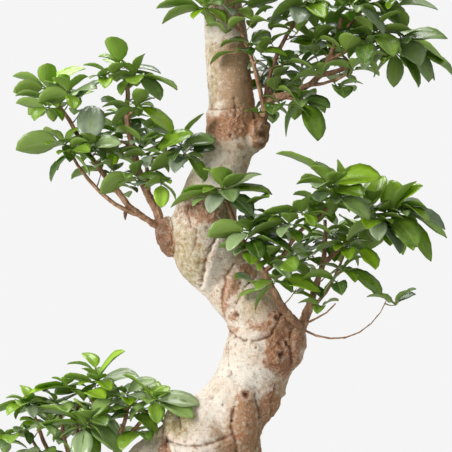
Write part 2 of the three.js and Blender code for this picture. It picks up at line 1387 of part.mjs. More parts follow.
function trunkRadius(share) {
  const next = Math.max(1, trunkMarks.findIndex((mark) => mark >= share - 1e-9));
  const from = trunkMarks[next - 1];
  const t = (share - from) / (trunkMarks[next] - from);
  const eased = t * t * (3 - 2 * t);
  const girth = TREE_SCALE * TRUNK_GIRTH;
  return girth * lerp(TRUNK_ROUTE[next - 1][3], TRUNK_ROUTE[next][3], eased);
}

// The trunk with its root lobes and burls, grown by `extra` all over when it is used as a cutter.
function trunkSolid(extra) {
  const flareTop = place([0, 0, ROOT_FLARE_TOP]).z;
  const bark = sweep(
    trunkCurve,
    (share, angle, centre) => {
      const flare = THREE.MathUtils.clamp((flareTop - centre.z) / (flareTop - FOOT.z), 0, 1.3);
      const lobes = 1 + ROOT_LOBE_DEPTH * flare * flare * Math.cos(ROOT_LOBES * angle + 0.6);
      const waist = 1 + 0.035 * Math.sin(2 * angle + 40 * share);
      return trunkRadius(share) * lobes * waist + extra;
    },
    TRUNK_SIDES,
    TRUNK_STEPS,
  );
  const burls = BURLS.map(({ at, size }) => {
    const ball = new THREE.SphereGeometry(1, 8, 5);
    const grown = size.map((half) => half * TREE_SCALE * TRUNK_GIRTH + extra);
    ball.scale(...grown).translate(...place(at).toArray());
    return solidOf(ball);
  });
  return join([bark, ...burls]);
}

const trunk = trunkSolid(0).simplify(2 * SIMPLIFY);
const trunkCutter = trunkSolid(GRAFT_GAP);

// ---- Limbs and their twigs ----
// Each limb's stems as curves, with the twigs that reach its sprays.
function stemOf({ radius, route }) {
  const curve = new THREE.CatmullRomCurve3(route.map(place), false, "centripetal");
  return { curve, radius, steps: Math.ceil(1.4 * (route.length - 1)) };
}

// The twig from the nearest stem to a place off it, leaving the stem below that place.
function twigTo(point, stems) {
  let best = null;
  for (const stem of stems) {
    for (let share = 0.3; share <= 0.96; share += 0.06) {
      const start = alongSweep(stem.curve, stem.steps, share);
      const above = Math.max(0, start.z - point.z + 8);
      const cost = start.distanceTo(point) + 2 * above;
      if (!best || cost < best.cost) {
        best = { cost, start, tangent: stem.curve.getTangentAt(share), stem, share };
      }
    }
  }
  const reach = best.start.distanceTo(point);
  const bend = best.start.clone().lerp(point, 0.5).addScaledVector(best.tangent, 0.16 * reach);
  const curve = new THREE.CatmullRomCurve3([best.start, bend, point], false, "centripetal");
  const foot = lerp(best.stem.radius[0], best.stem.radius[1], best.share);
  return { curve, radius: [Math.min(foot * 0.8, TWIG_RADIUS + 1), TWIG_RADIUS], steps: 3 };
}

function stemSolid({ curve, radius, steps }, extra) {
  const taper = (share) => lerp(radius[0], radius[1], Math.pow(share, 0.8)) * TREE_SCALE + extra;
  return sweep(curve, taper, radius[0] > 5 ? STEM_SIDES : TWIG_SIDES, steps);
}

// ---- Leaves ----
// A leaf as a closed bar of wedge section: a flat upper face, and a keel along the midrib below.
// Its rings have three corners, left, right and keel; it starts in the shoot and closes at its tip.
// `from` is the share of its length where it starts, so that the foot can be left out.
function leafSolid(root, [azimuth, elevation, length, roll, plain], from) {
  const heading = radians(azimuth);
  const long = length * LEAF_SCALE * TREE_SCALE;
  const width = LEAF_WIDTH_RATIO * long;
  const footHalf = lerp(LEAF_FOOT, 0.46 * width, from / 0.48);
  const footKeel = lerp(LEAF_FOOT, LEAF_MIDRIB, from / 0.48);
  // Share of the length, half width, keel depth and share of the droop at each ring.
  const rings = [
    [from, footHalf, footKeel, 0],
    [0.48, 0.46 * width, LEAF_MIDRIB, 0.2],
    [0.76, 0.4 * width, 0.8 * LEAF_MIDRIB, 0.6],
    [1, 0, 0, 1],
  ];
  if (plain) rings.splice(2, 1);
  const corners = [];
  const centre = root.clone();
  centre.x += 0.3 * Math.cos(heading);
  centre.y += 0.3 * Math.sin(heading);
  let walked = 0;
  for (const [share, half, keel, droop] of rings) {
    const tilt = radians(elevation - droop * LEAF_DROOP);
    const ahead = new THREE.Vector3(
      Math.cos(tilt) * Math.cos(heading),
      Math.cos(tilt) * Math.sin(heading),
      Math.sin(tilt),
    );
    centre.addScaledVector(ahead, (share - walked) * long);
    walked = share;
    if (half === 0) {
      corners.push(centre.clone());
      continue;
    }
    const up = new THREE.Vector3(
      -Math.sin(tilt) * Math.cos(heading),
      -Math.sin(tilt) * Math.sin(heading),
      Math.cos(tilt),
    ).applyAxisAngle(ahead, radians(roll));
    const side = new THREE.Vector3().crossVectors(ahead, up);
    corners.push(centre.clone().addScaledVector(side, -half));
    corners.push(centre.clone().addScaledVector(side, half));
    corners.push(centre.clone().addScaledVector(up, -keel));
  }

  const last = corners.length - 1;
  const faces = [0, 2, 1];
  for (let ring = 0; ring + 3 < last; ring += 3) {
    const [a, b, c] = [ring, ring + 1, ring + 2];
    const [d, e, f] = [ring + 3, ring + 4, ring + 5];
    faces.push(a, b, d, b, e, d); // upper face
    faces.push(b, f, e, b, c, f); // right of the keel
    faces.push(c, a, f, f, a, d); // left of the keel
  }
  const [a, b, c] = [last - 3, last - 2, last - 1];
  faces.push(a, b, last, b, c, last, c, a, last);
  const geometry = new THREE.BufferGeometry();
  const flat = corners.flatMap((corner) => corner.toArray());
  geometry.setAttribute("position", new THREE.Float32BufferAttribute(flat, 3));
  geometry.setIndex(faces);
  return solidOf(geometry);
}

// Turns tried, in degrees of azimuth and elevation, until a leaf stands clear of all the rest.
const TURNS = [
  [0, 0],
  [12, 0],
  [-12, 0],
  [0, 12],
  [0, -12],
  [24, 8],
  [-24, 8],
  [24, -10],
  [-24, -10],
  [38, 0],
  [-38, 0],
  [52, 14],
  [-52, 14],
  [66, -8],
  [-66, -8],
  [0, 28],
  [0, -28],
  [85, 6],
  [-85, 6],
  [110, 0],
  [-110, 0],
  [140, 10],
  [-140, 10],
  [175, 20],
];

const obstacles = []; // { solid, box, spray }: wood, shoots and leaves already in place

function addObstacle(solid, spray, isBlade) {
  obstacles.push({ solid, box: solid.boundingBox(), spray, isBlade });
}

function boxesNear(a, b, gap) {
  return [0, 1, 2].every((k) => a.min[k] - gap <= b.max[k] && b.min[k] - gap <= a.max[k]);
}

// A leaf keeps clear of everything but its own shoots, and only its foot may meet those.
function standsClear(outside, blade, spray) {
  const box = outside.boundingBox();
  return obstacles.every((other) => {
    if (!boxesNear(box, other.box, LEAF_CLEARANCE)) return true;
    if (other.spray !== spray) return outside.minGap(other.solid, LEAF_CLEARANCE) >= LEAF_CLEARANCE;
    if (!other.isBlade) return blade.minGap(other.solid, LEAF_CLEARANCE) >= LEAF_CLEARANCE;
    return outside.minGap(other.solid, FOOT_CLEARANCE) >= FOOT_CLEARANCE;
  });
}

function growLeaf(root, leaf, { spray, wood }) {
  for (const size of [1, 0.8]) {
    for (const [aside, lift] of TURNS) {
      const [azimuth, elevation, length, ...rest] = leaf;
      const turned = [azimuth + aside, Math.min(84, elevation + lift), size * length, ...rest];
      const whole = leafSolid(root, turned, 0);
      const blade = leafSolid(root, turned, BARE_RATIO);
      const outside = whole.subtract(wood);
      const rooted = whole.volume() - outside.volume() > 0.1 && outside.decompose().length === 1;
      if (rooted && standsClear(outside, blade, spray)) {
        addObstacle(outside, spray, true);
        return whole;
      }
    }
  }
  return null;
}

// ---- Sprays: green shoots from one collar, each with its leaves ----
// The foot of a spray: where the twig that carries it ends, and which way it points.
function collarOf(spray, stems) {
  const point = place(spray.from);
  const carrier = stems.find(({ curve }) => curve.getPointAt(1).distanceTo(point) < 1e-3);
  const ahead = carrier.curve.getTangentAt(1);
  return { point, ahead, radius: carrier.radius[1] * TREE_SCALE };
}

function shootCurve(collar, shoot) {
  const start = collar.point.clone().addScaledVector(collar.ahead, COLLAR_LENGTH / 2);
  const tip = place(shoot.tip);
  const reach = start.distanceTo(tip);
  const bend = start.clone().lerp(tip, 0.45).addScaledVector(collar.ahead, 0.2 * reach);
  return new THREE.CatmullRomCurve3([start, bend, tip], false, "centripetal");
}

function shootSolid(curve) {
  const long = curve.getLength();
  const budFrom = 1 - BUD_LENGTH / long;
  const taper = (share) => {
    const shrink = share > budFrom ? lerp(0.85, 0.12, (share - budFrom) / (1 - budFrom)) : 1;
    return SHOOT_RADIUS * TREE_SCALE * shrink * (1 - 0.15 * share);
  };
  return sweep(curve, taper, SHOOT_SIDES, SHOOT_STEPS);
}

function collarSolid({ point, ahead, radius }) {
  const foot = point.clone().addScaledVector(ahead, SEAT_GAP);
  const head = point.clone().addScaledVector(ahead, COLLAR_LENGTH);
  return sweep(new THREE.LineCurve3(foot, head), () => 0.96 * radius, TWIG_SIDES, 1);
}

// The leaf list of a shoot: the chosen ones, then `more` by the golden angle, lowest first.
function leavesOf(shoot, random) {
  const chosen = shoot.leaves.map((leaf, i) => ({
    leaf,
    share: 0.93 - (0.5 * i) / Math.max(4, shoot.leaves.length),
  }));
  const turn = 360 * random();
  const more = Math.round(shoot.more * FULLNESS);
  for (let i = 0; i < more; i++) {
    const rise = (i + 0.5) / more;
    const leaf = [
      turn + GOLDEN_ANGLE * i,
      lerp(-8, 58, rise) + 14 * (random() - 0.5),
      shoot.size * lerp(1.08, 0.82, rise) * lerp(0.92, 1.08, random()),
      50 * (random() - 0.5),
      true,
    ];
    chosen.push({ leaf, share: lerp(0.35, 0.94, rise) });
  }
  return chosen;
}

const limbSolids = {};
const limbStems = {};
const limbCutters = {};
for (const [limb, { stems, sprays }] of Object.entries(LIMBS)) {
  const curves = stems.map(stemOf);
  const stemCount = curves.length;
  for (const { from } of sprays) {
    const point = place(from);
    const carried = curves.some(({ curve }) => curve.getPointAt(1).distanceTo(point) < 1e-3);
    if (!carried) curves.push(twigTo(point, curves.slice(0, stemCount)));
  }
  limbStems[limb] = curves;
  limbCutters[limb] = join(curves.map((stem) => stemSolid(stem, GRAFT_GAP)));
  const wood = join(curves.map((stem) => stemSolid(stem, 0))).subtract(trunkCutter);
  limbSolids[limb] = largest(wood).simplify(SIMPLIFY);
}

// ---- The dried leaf, hanging by its stalk from the stem above it ----
function witheredSolid() {
  const { limb, stem, along, stalk, length, radius } = WITHERED;
  const { curve, radius: taper } = limbStems[limb][stem];
  const top = alongSweep(curve, limbStems[limb][stem].steps, along);
  const inside = 0.5 * lerp(taper[0], taper[1], Math.pow(along, 0.8)) * TREE_SCALE;
  const outline = [
    [0, 0],
    [0.8, 0],
    [0.8, -stalk],
    [radius, -stalk - 0.3 * length],
    [0.7 * radius, -stalk - 0.6 * length],
    [0, -stalk - length],
  ].map(([r, z]) => new THREE.Vector2(r, z));
  const turned = new THREE.LatheGeometry(outline.reverse(), 6).rotateX(Math.PI / 2);
  turned.scale(1, 0.45, 1).translate(top.x, top.y, top.z - inside);
  return largest(solidOf(turned).subtract(limbCutters[limb]));
}
const withered = witheredSolid();

addObstacle(withered, null, true);
addObstacle(trunk, null, true);
Object.values(limbSolids).forEach((solid) => addObstacle(solid, null, true));

// Every spray's wood goes in first, so that leaves keep clear of all of it.
const sprayNodes = [];
for (const [limb, { sprays }] of Object.entries(LIMBS)) {
  sprays.forEach((spray, number) => {
    const collar = collarOf(spray, limbStems[limb]);
    const curves = spray.shoots.map((shoot) => shootCurve(collar, shoot));
    const whole = join([collarSolid(collar), ...curves.map(shootSolid)]);
    const wood = largest(whole.subtract(limbCutters[limb]));
    addObstacle(wood, spray, false);
    sprayNodes.push({ name: `${limb}_spray_${number + 1}`, limb, spray, curves, wood, leaves: [] });
  });
}

// Chosen leaves grow before the others, over the whole tree.
const random = randomFrom(7);
const waiting = sprayNodes.flatMap((node) =>
  node.spray.shoots.flatMap((shoot, i) =>
    leavesOf(shoot, random).map((entry, order) => ({ node, curve: node.curves[i], order, ...entry })),
  ),
);
waiting.sort((a, b) => a.order - b.order);
for (const { node, curve, leaf, share } of waiting) {
  const belowBud = 1 - BUD_LENGTH / curve.getLength();
  const grown = growLeaf(alongSweep(curve, SHOOT_STEPS, share * belowBud), leaf, node);
  if (grown) node.leaves.push(grown);
}

// ---- Pot: turned stoneware with drain holes and grooves that let the water out ----
// Outer radius of the pot's wall at a height, slightly bellied.
function potRadius(z) {
  const share = z / POT_HEIGHT;
  const straight = lerp(POT_BASE_RADIUS, POT_RIM_RADIUS - POT_LIP_OUT, share);
  return straight + 10 * Math.sin(Math.PI * share);
}

function potSolid() {
  const wallSteps = 3;
  const lipFoot = POT_HEIGHT - POT_LIP_HEIGHT;
  const outline = [new THREE.Vector2(0, 0), new THREE.Vector2(POT_BASE_RADIUS - 4, 0)];
  for (let i = 0; i <= wallSteps; i++) {
    const z = lerp(4, lipFoot, i / wallSteps);
    outline.push(new THREE.Vector2(potRadius(z), z));
  }
  outline.push(new THREE.Vector2(potRadius(lipFoot) + POT_LIP_OUT, lipFoot + 3));
  outline.push(new THREE.Vector2(POT_RIM_RADIUS, POT_HEIGHT - 3));
  outline.push(new THREE.Vector2(POT_RIM_RADIUS - 3, POT_HEIGHT));
  outline.push(new THREE.Vector2(potRadius(POT_HEIGHT) - POT_WALL + 2, POT_HEIGHT));
  for (let i = wallSteps; i >= 0; i--) {
    const z = lerp(POT_FLOOR, lipFoot, i / wallSteps);
    outline.push(new THREE.Vector2(potRadius(z) - POT_WALL, z));
  }
  outline.push(new THREE.Vector2(0, POT_FLOOR));
  const turned = new THREE.LatheGeometry(outline, POT_SIDES).rotateX(Math.PI / 2);
  let pot = solidOf(turned);
  drainPlaces().forEach(({ x, y, angle }) => {
    const hole = new THREE.CylinderGeometry(DRAIN_HOLE_RADIUS, DRAIN_HOLE_RADIUS, 60, 16);
    hole.rotateX(Math.PI / 2).translate(x, y, 0);
    const groove = new THREE.BoxGeometry(POT_RIM_RADIUS, DRAIN_HOLE_RADIUS, 2 * DRAIN_GROOVE_DEPTH);
    groove.translate(DRAIN_CIRCLE_RADIUS + POT_RIM_RADIUS / 2, 0, 0).rotateZ(angle);
    pot = pot.subtract(solidOf(hole)).subtract(solidOf(groove));
  });
  return pot;
}

function drainPlaces() {
  return Array.from({ length: DRAIN_HOLES }, (_, i) => {
    const angle = (2 * Math.PI * (i + 0.25)) / DRAIN_HOLES;
    return {
      angle,
      x: DRAIN_CIRCLE_RADIUS * Math.cos(angle),
      y: DRAIN_CIRCLE_RADIUS * Math.sin(angle),
    };
  });
}

// A square of coarse plastic mesh lying on the pot's floor over one drain hole.
function meshSquare({ x, y, angle }, pierced, extra) {
  const side = MESH_SIDE + 2 * extra;
  const thick = MESH_THICKNESS + extra;
  const seat = (box) => box.rotateZ(angle).translate(x, y, POT_FLOOR + (pierced ? SEAT_GAP : 0));
  let square = solidOf(seat(new THREE.BoxGeometry(side, side, thick).translate(0, 0, thick / 2)));
  const pitch = MESH_SIDE / MESH_HOLES_PER_SIDE;
  for (let i = 0; pierced && i < MESH_HOLES_PER_SIDE ** 2; i++) {
    const u = pitch * ((i % MESH_HOLES_PER_SIDE) - (MESH_HOLES_PER_SIDE - 1) / 2);
    const v = pitch * (Math.floor(i / MESH_HOLES_PER_SIDE) - (MESH_HOLES_PER_SIDE - 1) / 2);
    const punch = new THREE.BoxGeometry(MESH_HOLE, MESH_HOLE, 4 * thick).translate(u, v, 0);
    square = square.subtract(solidOf(seat(punch)));
  }
  return square;
}

// Soil fills the pot to below the rim and is pressed round the trunk's foot and the mesh squares.
function soilSolid() {
  const top = POT_HEIGHT - SOIL_BELOW_RIM;
  const bottom = POT_FLOOR + SEAT_GAP;
  const steps = 3;
  const outline = [new THREE.Vector2(0, bottom)];
  for (let i = 0; i <= steps; i++) {
    const z = lerp(bottom, top, i / steps);
    outline.push(new THREE.Vector2(potRadius(z) - POT_WALL - 2 * SEAT_GAP - 0.6, z));
  }
  outline.push(new THREE.Vector2(0.66 * POT_BASE_RADIUS, top + SOIL_MOUND));
  outline.push(new THREE.Vector2(0, top + SOIL_MOUND));
  let soil = solidOf(new THREE.LatheGeometry(outline, POT_SIDES).rotateX(Math.PI / 2));
  drainPlaces().forEach((drain) => {
    soil = soil.subtract(meshSquare(drain, false, 2 * SEAT_GAP));
  });
  return soil.subtract(trunkCutter);
}

// ---- The whole plant ----
addNode("pot", potSolid(), STONEWARE, 0.75);
drainPlaces().forEach((drain, i) => {
  addNode(`drain_mesh_${i + 1}`, meshSquare(drain, true, 0), MESH_BLACK, 0.6);
});
addNode("potting_soil", soilSolid(), SOIL_BROWN, 0.95);
addNode("trunk", trunk, BARK, 0.8);
for (const [limb, solid] of Object.entries(limbSolids)) {
  addNode(`${limb}_limb`, solid, TWIG_BARK, 0.8);
}
for (const { name, limb, wood, leaves } of sprayNodes) {
  const leafy = join([wood, ...leaves]).simplify(SIMPLIFY);
  addNode(name, largest(leafy.subtract(limbCutters[limb])), LEAF_GREEN, 0.4);
}
addNode("withered_leaf", withered, WITHERED_BROWN, 0.9);

export default group;
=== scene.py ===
"""A fig grown as a bonsai in a plain stoneware pot: plant, pot, lights and camera."""

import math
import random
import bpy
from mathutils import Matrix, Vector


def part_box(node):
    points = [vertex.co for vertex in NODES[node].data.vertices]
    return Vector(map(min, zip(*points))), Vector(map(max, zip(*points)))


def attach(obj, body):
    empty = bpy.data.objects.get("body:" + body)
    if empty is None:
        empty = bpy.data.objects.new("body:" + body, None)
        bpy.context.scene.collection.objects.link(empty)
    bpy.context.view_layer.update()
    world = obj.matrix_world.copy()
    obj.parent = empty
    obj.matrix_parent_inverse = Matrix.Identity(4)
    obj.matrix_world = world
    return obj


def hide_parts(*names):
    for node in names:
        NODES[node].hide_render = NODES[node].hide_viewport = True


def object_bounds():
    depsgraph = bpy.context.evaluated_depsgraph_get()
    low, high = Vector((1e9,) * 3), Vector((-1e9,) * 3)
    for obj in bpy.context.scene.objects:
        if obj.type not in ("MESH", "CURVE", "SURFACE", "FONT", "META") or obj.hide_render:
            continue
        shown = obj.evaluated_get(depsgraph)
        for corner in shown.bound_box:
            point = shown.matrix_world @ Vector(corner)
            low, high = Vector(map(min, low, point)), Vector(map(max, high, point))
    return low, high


bl_info = {
    "name": "Potted fig bonsai",
    "version": (1, 0, 0),
    "blender": (4, 5, 0),
    "location": "View3D > Sidebar > Bonsai",
    "description": "Builds the fine surfaces of a fig bonsai in a stoneware pot",
    "category": "Object",
}

import bpy
import numpy as np
from mathutils import Vector, noise
from mathutils.bvhtree import BVHTree
from mathutils.kdtree import KDTree

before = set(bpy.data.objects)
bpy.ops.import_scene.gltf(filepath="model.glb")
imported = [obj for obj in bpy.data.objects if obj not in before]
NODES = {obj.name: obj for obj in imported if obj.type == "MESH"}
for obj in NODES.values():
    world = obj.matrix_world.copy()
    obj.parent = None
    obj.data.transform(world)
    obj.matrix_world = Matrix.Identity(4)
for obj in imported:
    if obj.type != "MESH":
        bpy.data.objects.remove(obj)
CAD_BOX = [list(corner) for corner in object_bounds()]
LIMBS = [name[: -len("_limb")] for name in NODES if name.endswith("_limb")]
MM = 0.001


# ---- Sizes and colours that a user would change ----
def shade(name, description, rgb):
    """A colour setting, given in the 0 to 255 values that a paint chart states."""
    linear = [((c / 255 + 0.055) / 1.055) ** 2.4 if c > 10 else c / 3294 for c in rgb]
    return bpy.props.FloatVectorProperty(
        name=name, description=description, subtype="COLOR", size=3, min=0, max=1, default=linear
    )


def length(name, description, millimetres):
    """A size setting, given in millimetres."""
    return bpy.props.FloatProperty(
        name=name,
        description=description,
        subtype="DISTANCE",
        unit="LENGTH",
        default=millimetres * MM,
        min=0,
    )


class BarkSettings(bpy.types.PropertyGroup):
    grain: length("Bark grain", "Edge length of the trunk's fine mesh", 3.3)
    triangles: bpy.props.IntProperty(
        name="Triangles", description="The most that the trunk may have", default=190000
    )
    lumps: length("Lumps", "Height of the trunk's broad swellings", 3.2)
    roughness: length("Rough bark", "Height of the crust on the brown patches", 1.1)
    twig_grain: length("Twig grain", "Edge length of the limbs' fine mesh", 0.95)
    cream: shade("Cream bark", "The smooth bark's main colour", (234, 221, 204))
    scar: shade("Pale scar", "Stretched bark and lenticels", (246, 238, 224))
    # Tan bark, also used for the painted shade on the trunk's right-hand side.
    tan: shade("Tan bark", "Older smooth bark", (177, 143, 107))
    pink: shade("Pink bark", "Young bark over swellings", (216, 186, 158))
    algae: shade("Algae", "Green film on shaded bark", (164, 150, 98))
    brown: shade("Brown crust", "Rough bark of the graft scars", (166, 113, 76))
    orange: shade("Orange fleck", "Flecks in the brown crust", (198, 138, 92))
    # Also the painted shade in cracks, knot eyes and the painted shade patches.
    dark: shade("Crevice", "Bottom of cracks and knot holes", (62, 38, 26))
    twig: shade("Twig bark", "The limbs' bark", (140, 98, 70))
    twig_pale: shade("Twig streak", "Pale streaks along the limbs", (190, 152, 116))


class LeafSettings(bpy.types.PropertyGroup):
    thickness: length("Blade thickness", "Thickness of a leaf's blade", 0.45)
    petiole: length("Leaf stalk", "Thickness of a leaf's stalk", 1.5)
    # The deep colour also paints the shade of the lower leaves.
    deep: shade("Old leaf", "The darkest leaves' upper face", (46, 82, 6))
    middle: shade("Leaf", "The other leaves' upper face", (154, 198, 22))
    young: shade("Young leaf", "The newest leaves", (184, 232, 22))
    # Painted sheen: the pale grey-green drawn on some leaves' upper faces.
    painted_sheen: shade("Bloom", "The waxy bloom on some leaves", (214, 224, 204))
    under: shade("Underside", "The leaves' lower face", (144, 172, 78))
    glow: shade("Glow", "The light that comes through a blade", (132, 182, 22))
    rib: shade("Midrib", "The rib along a blade", (172, 194, 106))
    shoot: shade("Green shoot", "Shoots, leaf stalks and buds", (130, 138, 66))
    dried: shade("Dried leaf", "The withered leaf", (84, 54, 36))


class PotSettings(bpy.types.PropertyGroup):
    sides: bpy.props.IntProperty(
        name="Sides", description="Segments round the pot", default=128, min=24
    )
    stoneware: shade("Stoneware", "The pot's body", (74, 76, 80))
    speckle: shade("Speckle", "Iron specks in the clay", (40, 36, 34))
    soil: shade("Soil", "Damp potting soil", (62, 45, 33))
    crumb: shade("Crumb", "Dry crumbs and bark chips", (112, 84, 60))
    mesh: shade("Drain mesh", "Plastic mesh over the drain holes", (30, 32, 34))


class StageSettings(bpy.types.PropertyGroup):
    floor: shade("Floor", "The pale floor", (206, 206, 205))
    backdrop: shade("Backdrop", "The air behind the plant", (245, 245, 245))
    ambient: bpy.props.FloatProperty(
        name="Ambient", description="Light from all round", default=0.52
    )
    key: bpy.props.FloatProperty(name="Key", description="Watts of the left softbox", default=84)
    overhead: bpy.props.FloatProperty(
        name="Overhead", description="Watts of the top softbox", default=70
    )


# ---- Materials ----
class Wire:
    """A socket in a material, with arithmetic that adds Math nodes."""

    def __init__(self, graph, socket):
        self.graph, self.socket = graph, socket

    def maths(self, operation, *values, clamp=False):
        settings = {"operation": operation, "use_clamp": clamp}
        return self.graph.node("ShaderNodeMath", settings, *values)

    def __add__(self, other):
        return self.maths("ADD", self, other)

    def __sub__(self, other):
        return self.maths("SUBTRACT", self, other)

    def __rsub__(self, other):
        return self.maths("SUBTRACT", other, self)

    def __mul__(self, other):
        return self.maths("MULTIPLY", self, other)

    def __abs__(self):
        return self.maths("ABSOLUTE", self)

    __radd__, __rmul__ = __add__, __mul__

    def sine(self):
        return self.maths("SINE", self)

    def rising(self, low, high):
        """0 below low, 1 above high, and smooth in between."""
        settings = {"interpolation_type": "SMOOTHSTEP"}
        return self.graph.node("ShaderNodeMapRange", settings, self, low, high, 0.0, 1.0)


class Graph:
    """A material's node tree, filled by Python expressions."""

    def __init__(self, name):
        self.material = bpy.data.materials.new(name)
        self.material.use_nodes = True
        self.tree = self.material.node_tree
        self.shader = self.tree.nodes["Principled BSDF"]

    def node(self, kind, settings=None, *inputs, out=0, **named):
        """A new node with its settings, then the values or links of its sockets."""
        made = self.tree.nodes.new(kind)
        for key, value in (settings or {}).items():
            setattr(made, key, value)
        for key, value in [*enumerate(inputs), *named.items()]:
            if value is None:
                continue
            if isinstance(key, str):
                key = key.replace("_", " ")
            self.feed(made.inputs[key], value)
        return Wire(self, made.outputs[out])

    def feed(self, socket, value):
        if isinstance(value, Wire):
            self.tree.links.new(value.socket, socket)
        elif hasattr(value, "__len__") and len(value) == 3 and socket.type == "RGBA":
            socket.default_value = (*value, 1)
        else:
            socket.default_value = value

    def place(self, scale=(1, 1, 1)):
        at = self.node("ShaderNodeTexCoord", out="Object")
        return self.node("ShaderNodeVectorMath", {"operation": "MULTIPLY"}, at, scale)

    def attribute(self, name):
        return self.node("ShaderNodeAttribute", {"attribute_name": name}, out="Fac")

    def noise(self, scale, stretch=(1, 1, 1), detail=3.0, rough=0.5):
        return self.node(
            "ShaderNodeTexNoise",
            None,
            Vector=self.place(stretch),
            Scale=scale,
            Detail=detail,
            Roughness=rough,
        )

    def mix(self, factor, low, high):
        """A colour between two others."""
        made = self.tree.nodes.new("ShaderNodeMix")
        made.data_type = "RGBA"
        for index, value in ((0, factor), (6, low), (7, high)):
            self.feed(made.inputs[index], value)
        return Wire(self, made.outputs[2])

    def bump(self, height, strength, distance):
        return self.node(
            "ShaderNodeBump", None, Height=height, Strength=strength, Distance=distance
        )

    def surface(self, **inputs):
        """Feeds the shader's own sockets and gives the finished material."""
        for key, value in inputs.items():
            self.feed(self.shader.inputs[key.replace("_", " ")], value)
        return self.material


def bark_material(look):
    """Smooth cream bark with fine level rings, algae, pale scars, brown crust and dark cracks,
    with painted shade in cracks, knots, hollows and on the right side, and painted highlight on
    crests.
    """
    g = Graph("fig_bark")
    broad = g.noise(19.0, detail=4.0, rough=0.6)
    cloudy = g.noise(58.0, detail=5.0, rough=0.65)
    mottle = g.noise(170.0, detail=5.0, rough=0.72)
    rings = g.noise(46.0, (1, 1, 9), detail=4.0, rough=0.6)
    grain = g.noise(430.0, (1, 1, 1.8), detail=3.0, rough=0.65)
    dots = g.noise(820.0, (0.7, 0.7, 1.4), detail=1.0)
    colour = g.mix(broad.rising(0.42, 0.62) * 0.7, look.cream, look.pink)
    # The tan attribute holds tan bark and the painted shade of the trunk's right-hand side.
    tanned_and_shaded = g.attribute("tan") * 0.95 + (cloudy - 0.5) * 1.3 + (mottle - 0.5) * 0.7
    colour = g.mix(tanned_and_shaded.rising(0.12, 0.80), colour, look.tan)
    colour = g.mix(mottle.rising(0.51, 0.66) * 0.6, colour, look.tan)
    colour = g.mix(mottle.rising(0.44, 0.30) * 0.6, colour, look.scar)
    colour = g.mix(rings.rising(0.52, 0.70) * 0.34, colour, [c * 0.72 for c in look.tan])
    film = g.attribute("algae") * (0.35 + mottle.rising(0.36, 0.62) * 0.65)
    colour = g.mix(film, colour, look.algae)
    colour = g.mix(g.attribute("algae") * mottle.rising(0.52, 0.62) * 0.5, colour, look.brown)
    colour = g.mix(g.attribute("pale") * 0.8 * mottle.rising(0.72, 0.45), colour, look.scar)
    brown = g.attribute("brown")
    crust = (brown + (mottle - 0.5) * 1.7 + (cloudy - 0.5) * 0.8).rising(0.18, 0.86)
    flecked = g.mix(grain.rising(0.47, 0.62) * 0.7, look.brown, look.orange)
    flecked = g.mix(mottle.rising(0.52, 0.68) * 0.6, flecked, [c * 0.45 for c in look.brown])
    flecked = g.mix(dots.rising(0.60, 0.68) * 0.55, flecked, look.cream)
    colour = g.mix(crust * 0.9, colour, flecked)
    colour = g.mix(dots.rising(0.64, 0.72) * 0.4, colour, look.scar)
    colour = g.mix(dots.rising(0.38, 0.29) * 0.5, colour, look.brown)
    colour = g.mix(grain.rising(0.36, 0.26) * 0.5, colour, [c * 0.7 for c in look.brown])
    # Painted shade in the hollows and painted highlight on the crests.
    sunk = g.attribute("sunk") + (grain - 0.5) * 0.25
    colour = g.mix(sunk.rising(0.54, 0.95) * 0.62, colour, [c * 0.55 for c in look.brown])
    colour = g.mix(sunk.rising(0.40, 0.10) * 0.32, colour, look.cream)
    # Dark marks: painted shade in cracks, knot eyes and the shade patches, with small dark specks
    # and crease lines of the bark itself.
    colour = g.mix(g.attribute("dark"), colour, look.dark)
    height = rings * 0.5 + grain * 0.45 + mottle * 0.9 + dots * 0.2
    return g.surface(
        Base_Color=colour,
        Roughness=0.6 + crust * 0.24,
        Normal=g.bump(height, 0.75, 0.0028),
    )


def twig_material(look):
    """Brown twig bark with pale streaks along it and small rings."""
    g = Graph("twig_bark")
    streak = g.noise(150.0, (1, 1, 0.35), detail=4.0, rough=0.6)
    fleck = g.noise(700.0, (1, 1, 1.6), detail=2.0)
    colour = g.mix(streak.rising(0.42, 0.66), look.twig, look.twig_pale)
    colour = g.mix(fleck.rising(0.58, 0.70) * 0.55, colour, [c * 0.42 for c in look.twig])
    colour = g.mix(fleck.rising(0.38, 0.30) * 0.4, colour, look.cream)
    return g.surface(
        Base_Color=colour,
        Roughness=0.6 + streak * 0.2,
        Normal=g.bump(streak * 0.6 + fleck * 0.5, 0.6, 0.0008),
    )


